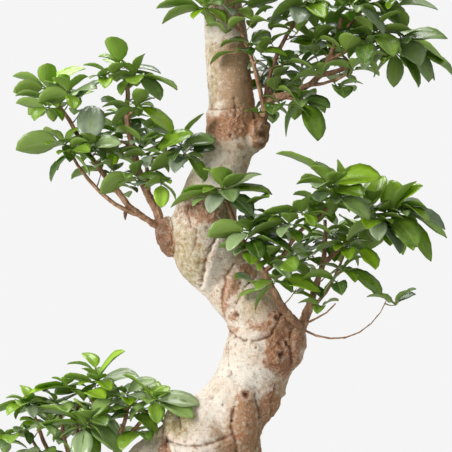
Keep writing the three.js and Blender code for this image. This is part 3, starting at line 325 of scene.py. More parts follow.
def leaf_material(look):
    """Waxy leaf: dark or young upper face, paler underside, pale midrib and faint side veins, with
    painted sheen on some upper faces and painted light and shade in the tone.
    """
    g = Graph("fig_leaf")
    uv = g.node("ShaderNodeUVMap", {"uv_map": "UVMap"})
    along = g.node("ShaderNodeSeparateXYZ", None, uv)
    across = Wire(g, along.socket.node.outputs[1])
    off = abs(across - 0.5) * 2
    under, young = g.attribute("under"), g.attribute("young")
    mottle = g.noise(95.0, detail=3.0)
    fine = g.noise(520.0, detail=2.0)
    # The tone attribute holds random tone and painted light and shade.
    tone = g.attribute("tone") + (mottle - 0.5) * 0.7 - off * 0.10
    colour = g.mix(tone.rising(0.0, 1.0), look.deep, look.middle)
    colour = g.mix(young, colour, look.young)
    veins = ((along * 9 - off * 2.2) * (2 * math.pi)).sine().rising(0.84, 1.0)
    veins = veins * off.rising(0.95, 0.45)
    colour = g.mix(veins * 0.16, colour, look.rib)
    # Painted sheen on the upper faces of some leaves.
    painted_sheen = g.attribute("painted_sheen") * (0.55 + mottle * 0.6) * (1 - under)
    colour = g.mix(painted_sheen, colour, look.painted_sheen)
    colour = g.mix(under * 0.85, colour, look.under)
    rib = off.rising(0.085, 0.02)
    colour = g.mix(rib * 0.6, colour, look.rib)
    colour = g.mix(off.rising(0.95, 1.0) * 0.2, colour, look.rib)
    height = veins * -0.5 + rib * -1.0 + mottle * 0.4 + fine * 0.08
    g.surface(
        Base_Color=colour,
        Roughness=0.20 + mottle * 0.14 + under * 0.3 + painted_sheen * 0.06,
        Coat_Weight=0.45,
        Coat_Roughness=0.15,
        Normal=g.bump(height, 0.35, 0.0006),
    )
    glow = g.node("ShaderNodeBsdfTranslucent", None, Color=(*look.glow, 1))
    blend = g.node("ShaderNodeMixShader", None, 0.28)
    shader = blend.socket.node
    g.tree.links.new(g.shader.outputs[0], shader.inputs[1])
    g.tree.links.new(glow.socket, shader.inputs[2])
    g.tree.links.new(shader.outputs[0], g.tree.nodes["Material Output"].inputs[0])
    return g.material


def shoot_material(look, bark):
    """Green shoots and leaf stalks with small pale flecks."""
    g = Graph("green_shoot")
    fleck = g.noise(420.0, detail=2.0)
    colour = g.mix(fleck.rising(0.42, 0.66), look.shoot, bark.twig_pale)
    return g.surface(
        Base_Color=colour,
        Roughness=0.45 + fleck * 0.2,
        Normal=g.bump(fleck, 0.3, 0.0004),
    )


def dried_material(look):
    """A withered leaf's creased brown."""
    g = Graph("dried_leaf")
    crease = g.noise(300.0, (1, 1, 0.3), detail=4.0)
    colour = g.mix(crease.rising(0.4, 0.65), look.dried, [c * 2.1 for c in look.dried])
    return g.surface(
        Base_Color=colour,
        Roughness=0.75 + crease * 0.1,
        Normal=g.bump(crease, 0.7, 0.0008),
    )


def stoneware_material(look):
    """Matte grey clay with iron specks and faint turning rings."""
    g = Graph("stoneware")
    cloud = g.noise(14.0, detail=5.0, rough=0.6)
    rings = g.noise(22.0, (0.12, 0.12, 12), detail=3.0)
    speck = g.noise(520.0, detail=1.0)
    colour = g.mix(cloud.rising(0.35, 0.7), look.stoneware, [c * 1.5 for c in look.stoneware])
    colour = g.mix(rings.rising(0.5, 0.7) * 0.25, colour, [c * 0.7 for c in look.stoneware])
    colour = g.mix(speck.rising(0.66, 0.72), colour, look.speckle)
    return g.surface(
        Base_Color=colour,
        Roughness=0.58 + cloud * 0.18,
        Normal=g.bump(rings * 0.8 + speck * 0.25, 0.35, 0.0012),
    )


def soil_material(look, name):
    """Damp soil: dark clods, paler crumbs and fine grit."""
    g = Graph(name)
    clod = g.noise(130.0, detail=5.0, rough=0.7)
    fine = g.noise(700.0, detail=3.0, rough=0.6)
    colour = g.mix(clod.rising(0.42, 0.66), look.soil, look.crumb)
    colour = g.mix(fine.rising(0.52, 0.66) * 0.6, colour, [c * 0.35 for c in look.soil])
    return g.surface(
        Base_Color=colour,
        Roughness=0.86 + fine * 0.1,
        Normal=g.bump(clod + fine * 0.6, 0.9, 0.002),
    )


def mesh_material(look):
    """Scuffed dark plastic."""
    g = Graph("drain_plastic")
    scuff = g.noise(240.0, detail=3.0)
    colour = g.mix(scuff.rising(0.4, 0.7), look.mesh, [c * 1.8 for c in look.mesh])
    return g.surface(Base_Color=colour, Roughness=0.5 + scuff * 0.2)


# ---- Small helpers ----
def only(*objects):
    """Leaves just these selected, the first one active."""
    bpy.ops.object.select_all(action="DESELECT")
    for obj in objects:
        obj.select_set(True)
    bpy.context.view_layer.objects.active = objects[0]


def copy_of(node, name):
    """A separate copy of a frame node with its loose triangles welded."""
    source = NODES[node]
    made = bpy.data.objects.new(name, source.data.copy())
    made.data.materials.clear()
    bpy.context.collection.objects.link(made)
    only(made)
    bpy.ops.object.mode_set(mode="EDIT")
    bpy.ops.mesh.select_all(action="SELECT")
    bpy.ops.mesh.remove_doubles(threshold=1e-6)
    bpy.ops.object.mode_set(mode="OBJECT")
    return made


def added(primitive, name, **settings):
    """A new mesh primitive, made with nothing else selected."""
    bpy.ops.object.select_all(action="DESELECT")
    getattr(bpy.ops.mesh, f"primitive_{primitive}_add")(**settings)
    bpy.context.object.name = name
    return bpy.context.object


def modify(obj, kind, **settings):
    """Applies one modifier."""
    only(obj)
    modifier = obj.modifiers.new(kind.title(), kind)
    for key, value in settings.items():
        setattr(modifier, key, value)
    bpy.ops.object.modifier_apply(modifier=modifier.name)


def remesh(obj, edge):
    """Rebuilds a mesh from even quads of the given edge."""
    only(obj)
    obj.data.remesh_voxel_size = edge
    bpy.ops.object.voxel_remesh()


def points_of(mesh):
    flat = np.zeros(len(mesh.vertices) * 3)
    mesh.vertices.foreach_get("co", flat)
    return flat.reshape(-1, 3)


def normals_of(mesh):
    flat = np.zeros(len(mesh.vertices) * 3)
    mesh.vertex_normals.foreach_get("vector", flat)
    return flat.reshape(-1, 3)


def tree_of(mesh):
    """A mesh's faces, for finding the nearest of them or the one that a ray meets."""
    corners = [vertex.co for vertex in mesh.vertices]
    return BVHTree.FromPolygons(corners, [tuple(face.vertices) for face in mesh.polygons])


def move_points(mesh, points):
    mesh.vertices.foreach_set("co", np.asarray(points, np.float32).ravel())
    mesh.update()


def write_attribute(mesh, name, values):
    """Stores one number at each point, for a material to read."""
    layer = mesh.attributes.new(name, "FLOAT", "POINT")
    layer.data.foreach_set("value", np.asarray(values, np.float32).ravel())


def smooth_step(values):
    """0 below 0, 1 above 1, and smooth in between."""
    t = np.clip(values, 0, 1)
    return t * t * (3 - 2 * t)


def bell(distance, width):
    """1 at no distance, falling away smoothly over the width."""
    return np.exp(-((distance / width) ** 2))


def noise_at(points, size, octaves=3, seed=0.0):
    """Fractal noise, about -1 to 1, with features of `size` metres."""
    offset = Vector((seed, seed * 1.7, -seed))
    return np.array([noise.fractal(Vector(p) / size + offset, 0.6, 2.0, octaves) for p in points])


def hand_over(obj, nodes, slot, *materials):
    """Sets the finish of a piece, hangs it from the root body and hides the frame nodes that it
    stands for.
    """
    for material in materials:
        if material.name not in obj.data.materials:
            obj.data.materials.append(material)
    only(obj)
    bpy.ops.object.shade_smooth()
    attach(obj, "root")
    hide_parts(*nodes)


# ---- The trunk's own marks: places seen from the front, in millimetres across and up ----
# Swellings and hollows: across, up, half width, half height, tilt in degrees, rise.
BULGES = [
    (-34, 678, 24, 40, 24, 4.5),
    (50, 610, 30, 22, -25, 4.5),
    (104, 548, 20, 28, 0, 2.5),
    (-86, 708, 9, 26, 20, -3.0),
    (-60, 708, 8, 24, 8, 2.6),
    (-70, 727, 12, 10, 0, 2.5),
    (42, 440, 15, 50, 5, 5.0),
    (-50, 450, 24, 18, 15, 3.0),
    (2, 448, 16, 22, 0, -4.0),
    (66, 452, 8, 40, 10, -3.5),
    (4, 640, 12, 44, -32, -3.5),
    (18, 854, 32, 16, 0, 2.2),
    (60, 846, 12, 18, 0, 1.5),
    (-16, 734, 34, 20, -10, 1.6),
    (70, 505, 30, 16, 0, -1.5),
]
# Patches: across, up, half width, half height, tilt in degrees, strength.
BROWN_PATCHES = [
    (22, 856, 40, 24, 0, 0.95),
    (60, 846, 17, 28, 0, 1.35),
    (52, 930, 9, 70, 0, 0.7),
    (-18, 736, 32, 21, -8, 0.8),
    (30, 596, 9, 10, 0, 0.75),
    (82, 590, 11, 13, 0, 0.85),
    (42, 487, 10, 9, 0, 1.1),
    (-70, 697, 17, 28, 0, 1.25),
    (14, 612, 8, 28, -6, 0.85),
    (25, 638, 12, 20, -32, 0.9),
    (44, 652, 15, 11, -36, 0.85),
    (70, 574, 30, 12, -20, 0.7),
    (94, 543, 26, 34, 0, 1.15),
    (24, 573, 14, 8, 0, 0.6),
    (42, 446, 20, 54, 5, 0.6),
    (72, 458, 15, 50, -12, 0.85),
    (-69, 412, 9, 26, 0, 1.0),
    (22, 430, 14, 24, 0, 0.6),
    (-136, 334, 26, 28, 0, 1.1),
    (-18, 226, 28, 30, 0, 1.1),
    (-100, 270, 24, 50, 20, 0.6),
    (-60, 190, 30, 30, 0, 0.5),
    (10, 1064, 24, 22, 0, 0.9),
    (70, 408, 16, 26, 0, 0.9),
]
TAN_PATCHES = [
    (40, 930, 26, 100, 0, 1.2),
    (16, 930, 24, 90, 0, 0.7),
    (42, 446, 22, 56, 5, 1.0),
    (100, 560, 30, 50, 0, 0.9),
    (34, 800, 14, 40, 0, 0.4),
    (36, 752, 16, 40, 0, 0.5),
    (30, 690, 20, 36, -30, 0.4),
    (12, 640, 10, 40, -30, 0.3),
    (2, 440, 13, 22, 0, 0.5),
    (90, 500, 22, 60, 0, 0.7),
    (20, 424, 26, 40, 0, 0.8),
    (-30, 700, 30, 40, 0, 0.3),
    (30, 1050, 40, 60, 0, 0.8),
]
ALGAE_PATCHES = [
    (-36, 672, 28, 46, 20, 0.95),
    (-8, 925, 13, 60, 0, 0.55),
    (-50, 448, 32, 20, 20, 1.15),
    (50, 604, 24, 22, -30, 0.55),
    (-2, 712, 30, 12, 0, 0.5),
    (-118, 300, 24, 60, 0, 0.5),
]
PALE_PATCHES = [
    (8, 982, 34, 12, 0, 1.0),
    (-14, 920, 10, 50, 0, 0.5),
    (46, 512, 46, 22, -10, 1.0),
    (-30, 412, 30, 18, 0, 0.8),
    (-6, 470, 24, 24, 30, 0.8),
    (-2, 650, 15, 44, -30, 1.1),
    (-4, 796, 30, 30, 0, 0.8),
    (14, 700, 16, 26, -30, 0.8),
    (46, 628, 22, 10, -30, 0.6),
    (-70, 350, 40, 40, 0, 0.5),
]
# Painted shade: patches of bark drawn nearly black.
PAINTED_SHADE_PATCHES = [
    (-74, 698, 13, 28, 0, 0.52),
    (100, 545, 14, 34, 0, 0.30),
    (64, 842, 11, 20, 0, 0.28),
]
# Cracks and creases: width, depth, then the places that they pass.
CRACKS = [
    (1.5, 1.3, [(-14, 879), (8, 878), (32, 880)]),
    (1.7, 1.8, [(26, 893), (28, 868)]),
    (2.2, 2.2, [(50, 874), (56, 858), (55, 840)]),
    (2.0, 1.8, [(64, 862), (70, 846), (62, 830)]),
    (1.8, 1.8, [(-36, 746), (-35, 730), (-31, 714)]),
    (2.2, 2.2, [(12, 760), (15, 742), (15, 726)]),
    (1.6, 1.2, [(-40, 758), (-16, 762), (12, 759)]),
    (2.6, 3.0, [(7, 708), (-6, 690), (-13, 669), (-16, 648), (-19, 633)]),
    (1.7, 1.4, [(-24, 712), (-26, 692), (-34, 672)]),
    (2.6, 2.8, [(27, 664), (15, 647), (10, 625), (10, 605), (16, 580)]),
    (1.5, 1.4, [(56, 647), (42, 635), (35, 624), (30, 612)]),
    (2.8, 2.8, [(90, 594), (76, 568), (56, 560), (36, 562), (17, 570)]),
    (2.6, 3.4, [(104, 573), (101, 548), (102, 520)]),
    (2.0, 2.0, [(84, 556), (92, 548), (88, 532)]),
    (1.6, 1.2, [(18, 556), (18, 530), (26, 504)]),
    (3.0, 3.6, [(54, 486), (63, 458), (60, 436), (52, 408)]),
    (2.6, 2.8, [(27, 470), (22, 448), (27, 420), (30, 398)]),
    (2.0, 2.6, [(-47, 452), (-45, 438)]),
    (2.4, 2.4, [(-68, 424), (-46, 420), (-22, 419), (2, 425), (22, 434)]),
    (1.8, 1.6, [(-60, 410), (-36, 407), (-12, 411), (8, 418)]),
    (2.6, 2.6, [(-67, 426), (-66, 412), (-70, 396)]),
    (2.4, 2.6, [(84, 500), (76, 470), (80, 440)]),
    (3.2, 3.0, [(-110, 360), (-92, 330), (-94, 296), (-76, 262)]),
    (3.0, 3.0, [(-60, 330), (-58, 290), (-40, 250), (-34, 200)]),
]
# Knots: across, up, radius, height of the rim, depth of the eye.
KNOTS = [
    (5, 767, 3.5, 1.0, 2.0),
    (33, 596, 7.5, 2.4, 1.8),
    (82, 590, 7.0, 1.8, 1.2),
    (90, 541, 10, 2.4, 3.6),
    (57, 551, 4, 1.6, 0.8),
    (42, 487, 9, 3.2, 2.0),
    (23, 452, 4.5, 1.4, 3.8),
    (99, 481, 6, 4.6, 0.5),
    (92, 463, 6, 4.2, 0.5),
    (88, 448, 5, 3.6, 0.5),
    (96, 556, 7, 2.0, 1.0),
    (62, 846, 11, 3.2, 2.8),
    (22, 842, 6, 1.4, 0.8),
    (-24, 748, 5, 1.2, 1.0),
    (-72, 700, 9, 2.2, 1.8),
    (-132, 330, 13, 3.4, 2.4),
    (-50, 300, 9, 2.2, 1.6),
    (-20, 232, 12, 3.0, 2.0),
]
# Raised folds of bark: width, height, then the places that they pass.
FOLDS = [
    (6, 1.8, [(14, 708), (2, 690), (-5, 669), (-9, 648), (-12, 633)]),
    (7, 2.2, [(24, 644), (18, 625), (18, 606), (24, 584)]),
    (6, 1.8, [(88, 584), (74, 576), (56, 568), (36, 570)]),
    (7, 2.2, [(-60, 430), (-30, 427), (0, 434)]),
    (7, 2.0, [(-54, 414), (-28, 412), (2, 418)]),
    (6, 1.6, [(-40, 752), (-16, 756), (10, 753)]),
    (8, 2.2, [(-8, 872), (22, 870), (50, 874)]),
    (9, 2.0, [(-10, 834), (20, 830), (48, 828)]),
    (7, 2.0, [(96, 590), (110, 562), (108, 530)]),
    (14, 4.0, [(-120, 380), (-104, 340), (-110, 290), (-88, 240)]),
    (14, 4.0, [(-70, 360), (-70, 300), (-56, 250), (-30, 190)]),
]


def along_line(flat, route):
    """Each point's distance from a line through the given places, in millimetres."""
    best = np.full(len(flat), 1e9)
    for start, end in zip(route, route[1:]):
        start, step = np.array(start, float), np.subtract(end, start).astype(float)
        share = np.clip((flat - start) @ step / (step @ step), 0, 1)
        best = np.minimum(best, np.linalg.norm(flat - start - share[:, None] * step, axis=1))
    return best


def tilted(flat, x, z, wide, high, tilt):
    """Distance from the middle of a tilted oval, 1 on its edge."""
    turn = math.radians(tilt)
    dx, dz = (flat - (x, z)).T
    u = (dx * math.cos(turn) + dz * math.sin(turn)) / wide
    v = (dz * math.cos(turn) - dx * math.sin(turn)) / high
    return np.sqrt(u * u + v * v)


def patch_weight(flat, wander, marks):
    """How strongly each point is covered by the patches, with ragged edges."""
    total = np.zeros(len(flat))
    for *oval, strength in marks:
        reach = 1.3 - tilted(flat, *oval) + 0.4 * wander
        total = np.maximum(total, strength * smooth_step(reach / 0.8))
    return total


# How much the marks above rise or sink, against the heights that they state.
BULGE_GAIN, FOLD_GAIN, CRACK_GAIN = 1.25, 1.3, 1.15
# Between these heights, in metres, the trunk's front gets the finest mesh.
FINE_FROM, FINE_TO = 0.375, 1.02
PIMPLES = 620
COLLAR_RISE, COLLAR_REACH = 5.5, 19  # millimetres, round each limb's foot


class BONSAI_OT_trunk(bpy.types.Operator):
    """Builds the trunk with its folds, knots, cracks and graft scars, and paints shade into its
    cracks, knot eyes, hollows and right-hand side
    """

    bl_idname = "bonsai.trunk"
    bl_label = "Trunk"

    def execute(self, context):
        look = context.scene.bonsai_bark
        trunk = copy_of("trunk", "fig_trunk")
        remesh(trunk, look.grain)
        modify(trunk, "SMOOTH", factor=0.5, iterations=26)
        self.refine_front(trunk)
        modify(trunk, "SMOOTH", factor=0.5, iterations=4)
        mesh = trunk.data
        points, normals = points_of(mesh), normals_of(mesh)
        flat = points[:, [0, 2]] / MM
        facing = smooth_step((0.55 - normals[:, 1]) / 0.9)
        behind = 1 - facing
        broad = noise_at(points, 0.05, 2, 3.0)
        lump = noise_at(points, 0.018, 3, 9.0)
        crust = noise_at(points, 0.005, 4, 5.0)
        warp = np.stack([noise_at(points, 0.014, 2, seed) for seed in (21.0, 31.0)], 1)
        drawn = flat + 1.8 * warp  # the marks' places, with a wandering edge
        broken = np.clip(0.65 + 0.9 * noise_at(points, 0.009, 2, 41.0), 0, 1)

        lift = 1.0 + look.lumps / MM * (0.4 * broad + 0.28 * lump)
        dark, stain = np.zeros(len(points)), np.zeros(len(points))
        for *oval, rise in BULGES:
            lift += facing * BULGE_GAIN * rise * bell(tilted(flat, *oval), 1)
        for width, height, route in FOLDS:
            lift += facing * FOLD_GAIN * height * bell(along_line(drawn, route), width)
        for width, depth, route in CRACKS:
            away = along_line(drawn, route)
            near = bell(away, 0.85 * width)
            lift -= facing * CRACK_GAIN * depth * near * (0.35 + 0.65 * broken)
            # Painted shade along the crack.
            dark = np.maximum(dark, facing * broken * np.clip(near * 1.3 - 0.7, 0, 0.30))
            stain = np.maximum(stain, facing * bell(away, 3.2 * width))
        for x, z, radius, height, eye in KNOTS:
            apart = np.linalg.norm(drawn - (x, z), axis=1) / radius
            lift += facing * height * bell(apart - 0.75, 0.45)
            lift -= facing * eye * bell(apart, 0.42)
            # Painted shade in the knot's eye.
            dark = np.maximum(dark, facing * 0.65 * bell(apart, 0.4))
        # Painted shade patches, drawn in the crevice colour.
        dark = np.maximum(dark, facing * patch_weight(flat, lump, PAINTED_SHADE_PATCHES))
        self.pimples(points, normals, lift, dark)

        brown, tan, algae, pale = (
            facing * patch_weight(flat, lump, patches)
            for patches in (BROWN_PATCHES, TAN_PATCHES, ALGAE_PATCHES, PALE_PATCHES)
        )
        brown = np.maximum(brown, 0.42 * stain * broken)
        brown = np.maximum(brown, behind * smooth_step((broad - 0.2) * 2) * 0.55)
        algae = np.maximum(algae, behind * smooth_step((-broad - 0.15) * 2) * 0.45)
        # Painted shade: the right-hand side, which faces away from the key light, is drawn in tan.
        tan = np.maximum(tan, 0.5 * smooth_step(normals[:, 0] * 1.4 - 0.2))
        tan = np.maximum(tan, behind * 0.4)
        roots = smooth_step((0.20 - points[:, 2]) / 0.07)
        brown = np.maximum(brown, 0.5 * roots * (0.6 + 0.5 * lump))
        turn = np.arctan2(normals[:, 0], normals[:, 1])
        twist = np.sin(turn * 3 + points[:, 2] * 42 + 1.5 * broad)
        crease = behind * broken * np.clip(twist - 0.86, 0, 1) / 0.14
        lift -= 1.8 * crease
        dark = np.maximum(dark, 0.45 * crease)

        lift += brown * look.roughness / MM * crust + 0.22 * crust
        lift += self.collars(points)
        move_points(mesh, points + normals * (lift * MM)[:, None])
        marks = {"brown": brown, "tan": tan, "algae": algae, "pale": pale, "dark": dark}
        for name, values in {**marks, "sunk": self.sunk(mesh, lift)}.items():
            write_attribute(mesh, name, values)
        corners = sum(len(face.vertices) - 2 for face in mesh.polygons)
        modify(trunk, "DECIMATE", ratio=min(1, look.triangles / corners))
        hand_over(trunk, ["trunk"], "bark", bark_material(look))
        return {"FINISHED"}

    def refine_front(self, trunk):
        """Halves the mesh where the trunk's front carries the fine marks."""
        only(trunk)
        for face in trunk.data.polygons:
            face.select = FINE_FROM < face.center.z < FINE_TO and face.normal.y < 0.3
        bpy.ops.object.mode_set(mode="EDIT")
        bpy.ops.mesh.subdivide(number_cuts=1)
        bpy.ops.object.mode_set(mode="OBJECT")

    def sunk(self, mesh, lift):
        """How far each point lies below its surroundings: 0.5 is level, 1 a crevice, 0 a crest;
        the bark's painted shade and painted highlight follow it.
        """
        ends = np.zeros(2 * len(mesh.edges), int)
        mesh.edges.foreach_get("vertices", ends)
        a, b = ends.reshape(-1, 2).T
        count = np.bincount(a, minlength=len(lift)) + np.bincount(b, minlength=len(lift))
        level = lift.copy()
        for _ in range(14):
            total = np.bincount(a, level[b], len(lift)) + np.bincount(b, level[a], len(lift))
            level = 0.5 * level + 0.5 * total / np.maximum(count, 1)
        return np.clip(0.5 + 0.42 * (level - lift), 0, 1)

    def pimples(self, points, normals, lift, dark):
        """Scatters the small buds and pits that cover old bark."""
        rule = random.Random(23)
        tree = KDTree(len(points))
        for index, point in enumerate(points):
            tree.insert(point, index)
        tree.balance()
        for _ in range(PIMPLES):
            centre = points[rule.randrange(len(points))]
            radius = rule.uniform(1.4, 3.6)
            rise = rule.choice((0.9, 0.7, -0.9)) * rule.uniform(0.6, 1.3)
            for _, index, gap in tree.find_range(centre, radius * MM * 1.6):
                weight = bell(gap / MM * 1.4, radius)
                lift[index] += rise * weight
                dark[index] = max(dark[index], weight * (0.6 if rise < 0 else 0.2))

    def collars(self, points):
        """Swells the bark round each limb's foot, so that the limb grows out of it."""
        swell = np.zeros(len(points))
        tree = tree_of(NODES["trunk"].data)
        for limb in LIMBS:
            corners = points_of(NODES[limb + "_limb"].data)
            feet = [p for p in corners if tree.find_nearest(Vector(p))[3] < 1.2 * MM]
            if not feet:
                continue
            apart = np.linalg.norm(points - np.mean(feet, axis=0), axis=1) / MM
            swell = np.maximum(swell, COLLAR_RISE * bell(apart, COLLAR_REACH))
        return swell


THICKEST = 0.02  # metres; thicker wood counts as this


class BONSAI_OT_limbs(bpy.types.Operator):
    """Rounds the limbs and their twigs and gives them rings and knobs"""

    bl_idname = "bonsai.limbs"
    bl_label = "Limbs"

    def execute(self, context):
        look = context.scene.bonsai_bark
        material = twig_material(look)
        for name in LIMBS:
            limb = copy_of(name + "_limb", name + "_branches")
            remesh(limb, look.twig_grain)
            modify(limb, "SMOOTH", factor=0.5, iterations=9)
            mesh = limb.data
            points, normals = points_of(mesh), normals_of(mesh)
            knobs = noise_at(points, 0.011, 2, 7.0)
            rings = noise_at(points * (1, 1, 3), 0.006, 2, 13.0)
            stout = smooth_step((self.thickness(mesh, points, normals) / MM - 4) / 9)
            lift = 0.15 - 1.2 * stout
            lift += (0.25 + 0.85 * stout) * knobs + (0.15 + 0.2 * stout) * rings
            move_points(mesh, points + normals * (lift * MM)[:, None])
            hand_over(limb, [name + "_limb"], "twig_bark", material)
        return {"FINISHED"}

    def thickness(self, mesh, points, normals):
        """How thick the wood is below each point, up to THICKEST."""
        tree = tree_of(mesh)
        through = np.full(len(points), THICKEST)
        for index, (point, normal) in enumerate(zip(points, normals)):
            gap = tree.ray_cast(Vector(point - normal * 2e-5), Vector(-normal), THICKEST)[3]
            through[index] = THICKEST if gap is None else gap
        return through


# ---- Leaves ----
# Rings along a leaf: share of its length, and share of its greatest half width.
LEAF_RINGS = [
    (0.0, 0), (0.12, 0), (0.16, 0.30), (0.27, 0.72), (0.42, 0.96),
    (0.59, 1.0), (0.76, 0.85), (0.91, 0.46), (1.0, 0.03),
]  # fmt: skip
# Long shoots of the middle right limb that reach past its pad: the foot, the end, and each leaf's
# share of the shoot with its tip, in millimetres.
LONG_SHOOTS = [
    ((205, -16, 724), (262, -26, 730), [
        (0.35, (238, -58, 690)), (0.5, (252, -2, 776)), (0.62, (284, -48, 772)),
        (0.7, (268, -70, 684)), (0.85, (298, -30, 668)), (0.92, (316, -38, 712)),
        (1.0, (322, -16, 700)), (1.0, (296, 6, 742)),
    ]),
    ((168, -20, 742), (176, -30, 764), [
        (0.5, (132, -52, 770)), (0.7, (196, -64, 790)), (0.85, (214, -40, 760)),
        (1.0, (168, -66, 806)), (1.0, (204, 4, 800)), (1.0, (138, 0, 800)),
    ]),
]  # fmt: skip
# Painted light: how much paler the leaves of the best-lit pads are drawn.
SUNLIT = {"lower_left": 0.26, "middle_right": 0.12, "upper_left": 0.05}
# How many short leafy shoots break from each limb's older wood.
SIDE_SHOOTS = {
    "upper_left": 12, "middle_right": 16, "upper_right": 40,
    "lower_left": 12, "lower_right": 3, "crown": 12,
}  # fmt: skip
SHOOT_RISE = 0.35  # how far a shoot turns upwards, against its length
SHOOT_RINGS = (0, 0.22, 0.45, 0.66, 0.74, 0.86, 1.0)  # shares of its length, the last in its bud
SHOOT_RADIUS, LONG_SHOOT_RADIUS = 0.0011, 0.0012
LAST_LEAF = 0.86  # share of a shoot below its bud
LEAF_TURN = 2.4  # radians round a shoot from one leaf to the next
LEAVES_APART = 0.0075  # metres between any two leaves' samples
WOOD_APART = 0.005  # metres from a leaf or a new shoot's end to the wood
CLUSTER_REACH = 0.010  # metres between the feet of leaves that share a shoot
# New leaves between a shoot's own: how steeply they rise, and their size against its other leaves.
INFILL = ((0.15, 0.95), (0.75, 0.85), (-0.35, 0.9), (0.4, 0.75), (-0.1, 0.7))


def leaf_template():
    """One flat leaf to be bent to each place: a grid with a thickness, and its own map."""
    rings = len(LEAF_RINGS) - 1
    leaf = added("grid", "leaf_template", x_subdivisions=rings, y_subdivisions=4, size=1)
    modify(leaf, "SOLIDIFY", thickness=1, offset=-1)
    return leaf


def shoot_template():
    """One green shoot to be bent to each place: a six-sided stalk with a pointed bud."""
    shoot = added("circle", "shoot_template", vertices=6, radius=1, fill_type="NGON")
    bpy.ops.object.mode_set(mode="EDIT")
    bpy.ops.mesh.select_all(action="SELECT")
    for width in (0.9, 0.82, 0.8, 1.15, 0.8, 0.12):
        bpy.ops.mesh.extrude_region_move(TRANSFORM_OT_translate={"value": (0, 0, 1)})
        bpy.ops.transform.resize(value=(width, width, 1), center_override=(0, 0, 0))
    bpy.ops.mesh.select_all(action="SELECT")
    bpy.ops.mesh.normals_make_consistent(inside=False)
    bpy.ops.object.mode_set(mode="OBJECT")
    return shoot


def along_shoot(foot, heading, span, share):
    """A point of a shoot that leaves the wood along heading and turns upwards."""
    return foot + heading * span * share + Vector((0, 0, SHOOT_RISE * span * share**2))


def bend_shoot(template, foot, heading, span, radius):
    """A copy of the shoot, bent to its place."""
    mesh = template.data.copy()
    flat = points_of(mesh)
    placed = np.zeros_like(flat)
    for ring, share in enumerate(SHOOT_RINGS):
        centre = along_shoot(foot, heading, span, share)
        ahead = (heading + Vector((0, 0, 0.7 * share))).normalized()
        side = ahead.orthogonal().normalized()
        up = ahead.cross(side)
        rows = np.flatnonzero(np.round(flat[:, 2]).astype(int) == ring)
        spread = flat[rows] * radius
        placed[rows] = np.array(centre) + np.outer(spread[:, 0], side) + np.outer(spread[:, 1], up)
    move_points(mesh, placed)
    for name in ("under", "tone", "young", "painted_sheen"):
        write_attribute(mesh, name, np.zeros(len(flat)))
    made = bpy.data.objects.new("shoot", mesh)
    bpy.context.collection.objects.link(made)
    return made


def rim_chains(mesh):
    """The leaves' sharp rims in a welded spray, each as its corners from foot over tip to foot."""
    beside = {}
    for face in mesh.polygons:
        for edge in face.edge_keys:
            beside.setdefault(edge, []).append(face)
    reach = {}
    for (a, b), faces in beside.items():
        if len(faces) == 2 and faces[0].normal.dot(faces[1].normal) < -0.93:
            reach.setdefault(a, []).append(b)
            reach.setdefault(b, []).append(a)
    chains, seen = [], set()
    for start in sorted(v for v in reach if len(reach[v]) == 1):
        if start in seen:
            continue
        chain, at = [start], start
        seen.add(start)
        while True:
            ahead = [v for v in reach[at] if v not in seen]
            if not ahead:
                break
            at = ahead[0]
            seen.add(at)
            chain.append(at)
        if len(chain) >= 4:
            chains.append(chain)
    return chains


def wood_near(wood, point):
    return any(tree.find_nearest(point, WOOD_APART)[0] is not None for tree in wood)


def heading_to(azimuth, rise):
    level = math.cos(rise)
    return Vector((math.cos(azimuth) * level, math.sin(azimuth) * level, math.sin(rise)))


class Leaf:
    """Where one leaf grows: its foot, middle and tip, its half width and the way it faces."""

    def __init__(self, foot, middle, tip, half, side):
        self.foot, self.middle, self.tip, self.half = foot, middle, tip, half
        ahead = (tip - foot).normalized()
        self.side = (side - ahead * side.dot(ahead)).normalized()
        up = self.side.cross(ahead)
        if up.z < 0:
            self.side = -self.side

    @classmethod
    def from_chain(cls, mesh, chain):
        corners = [mesh.vertices[v].co.copy() for v in chain]
        foot = (corners[0] + corners[-1]) / 2
        reach = [(corner - foot).length for corner in corners]
        top = reach.index(max(reach))
        last = len(corners) - 1
        width, i, j = max(
            ((corners[i] - corners[last - j]).length, i, j)
            for i in range(top + 1)
            for j in range(last - top + 1)
            if abs(reach[i] - reach[last - j]) < 0.006
        )
        left, right = corners[i], corners[last - j]
        return cls(foot, (left + right) / 2, corners[top], width / 2, right - left)

    def at(self, share):
        """A point of the midrib, on the curve through foot, middle and tip."""
        lower, upper = (self.middle - self.foot).length, (self.tip - self.middle).length
        t, k = share, min(0.7, max(0.3, lower / max(1e-6, lower + upper)))
        return (
            self.foot * ((t - k) * (t - 1) / k)
            + self.middle * (t * (t - 1) / (k * (k - 1)))
            + self.tip * (t * (t - k) / (1 - k))
        )

    def samples(self):
        """A few points spread over the blade, for keeping leaves apart."""
        rib = [self.at(t) for t in (0.3, 0.5, 0.7, 0.9)]
        return rib + [self.at(0.5) + self.side * self.half * s for s in (-0.8, 0.8)]

    def within(self, low, high, beyond=0):
        """Whether the blade stays inside a box, or this far beyond it."""
        return all(
            low[axis] - beyond < spot[axis] < high[axis] + beyond
            for spot in (*self.samples(), self.tip)
            for axis in range(3)
        )

    def azimuth(self):
        ahead = self.tip - self.foot
        return math.atan2(ahead.y, ahead.x)

    def rise(self):
        ahead = self.tip - self.foot
        return math.asin(max(-1, min(1, ahead.z / ahead.length)))


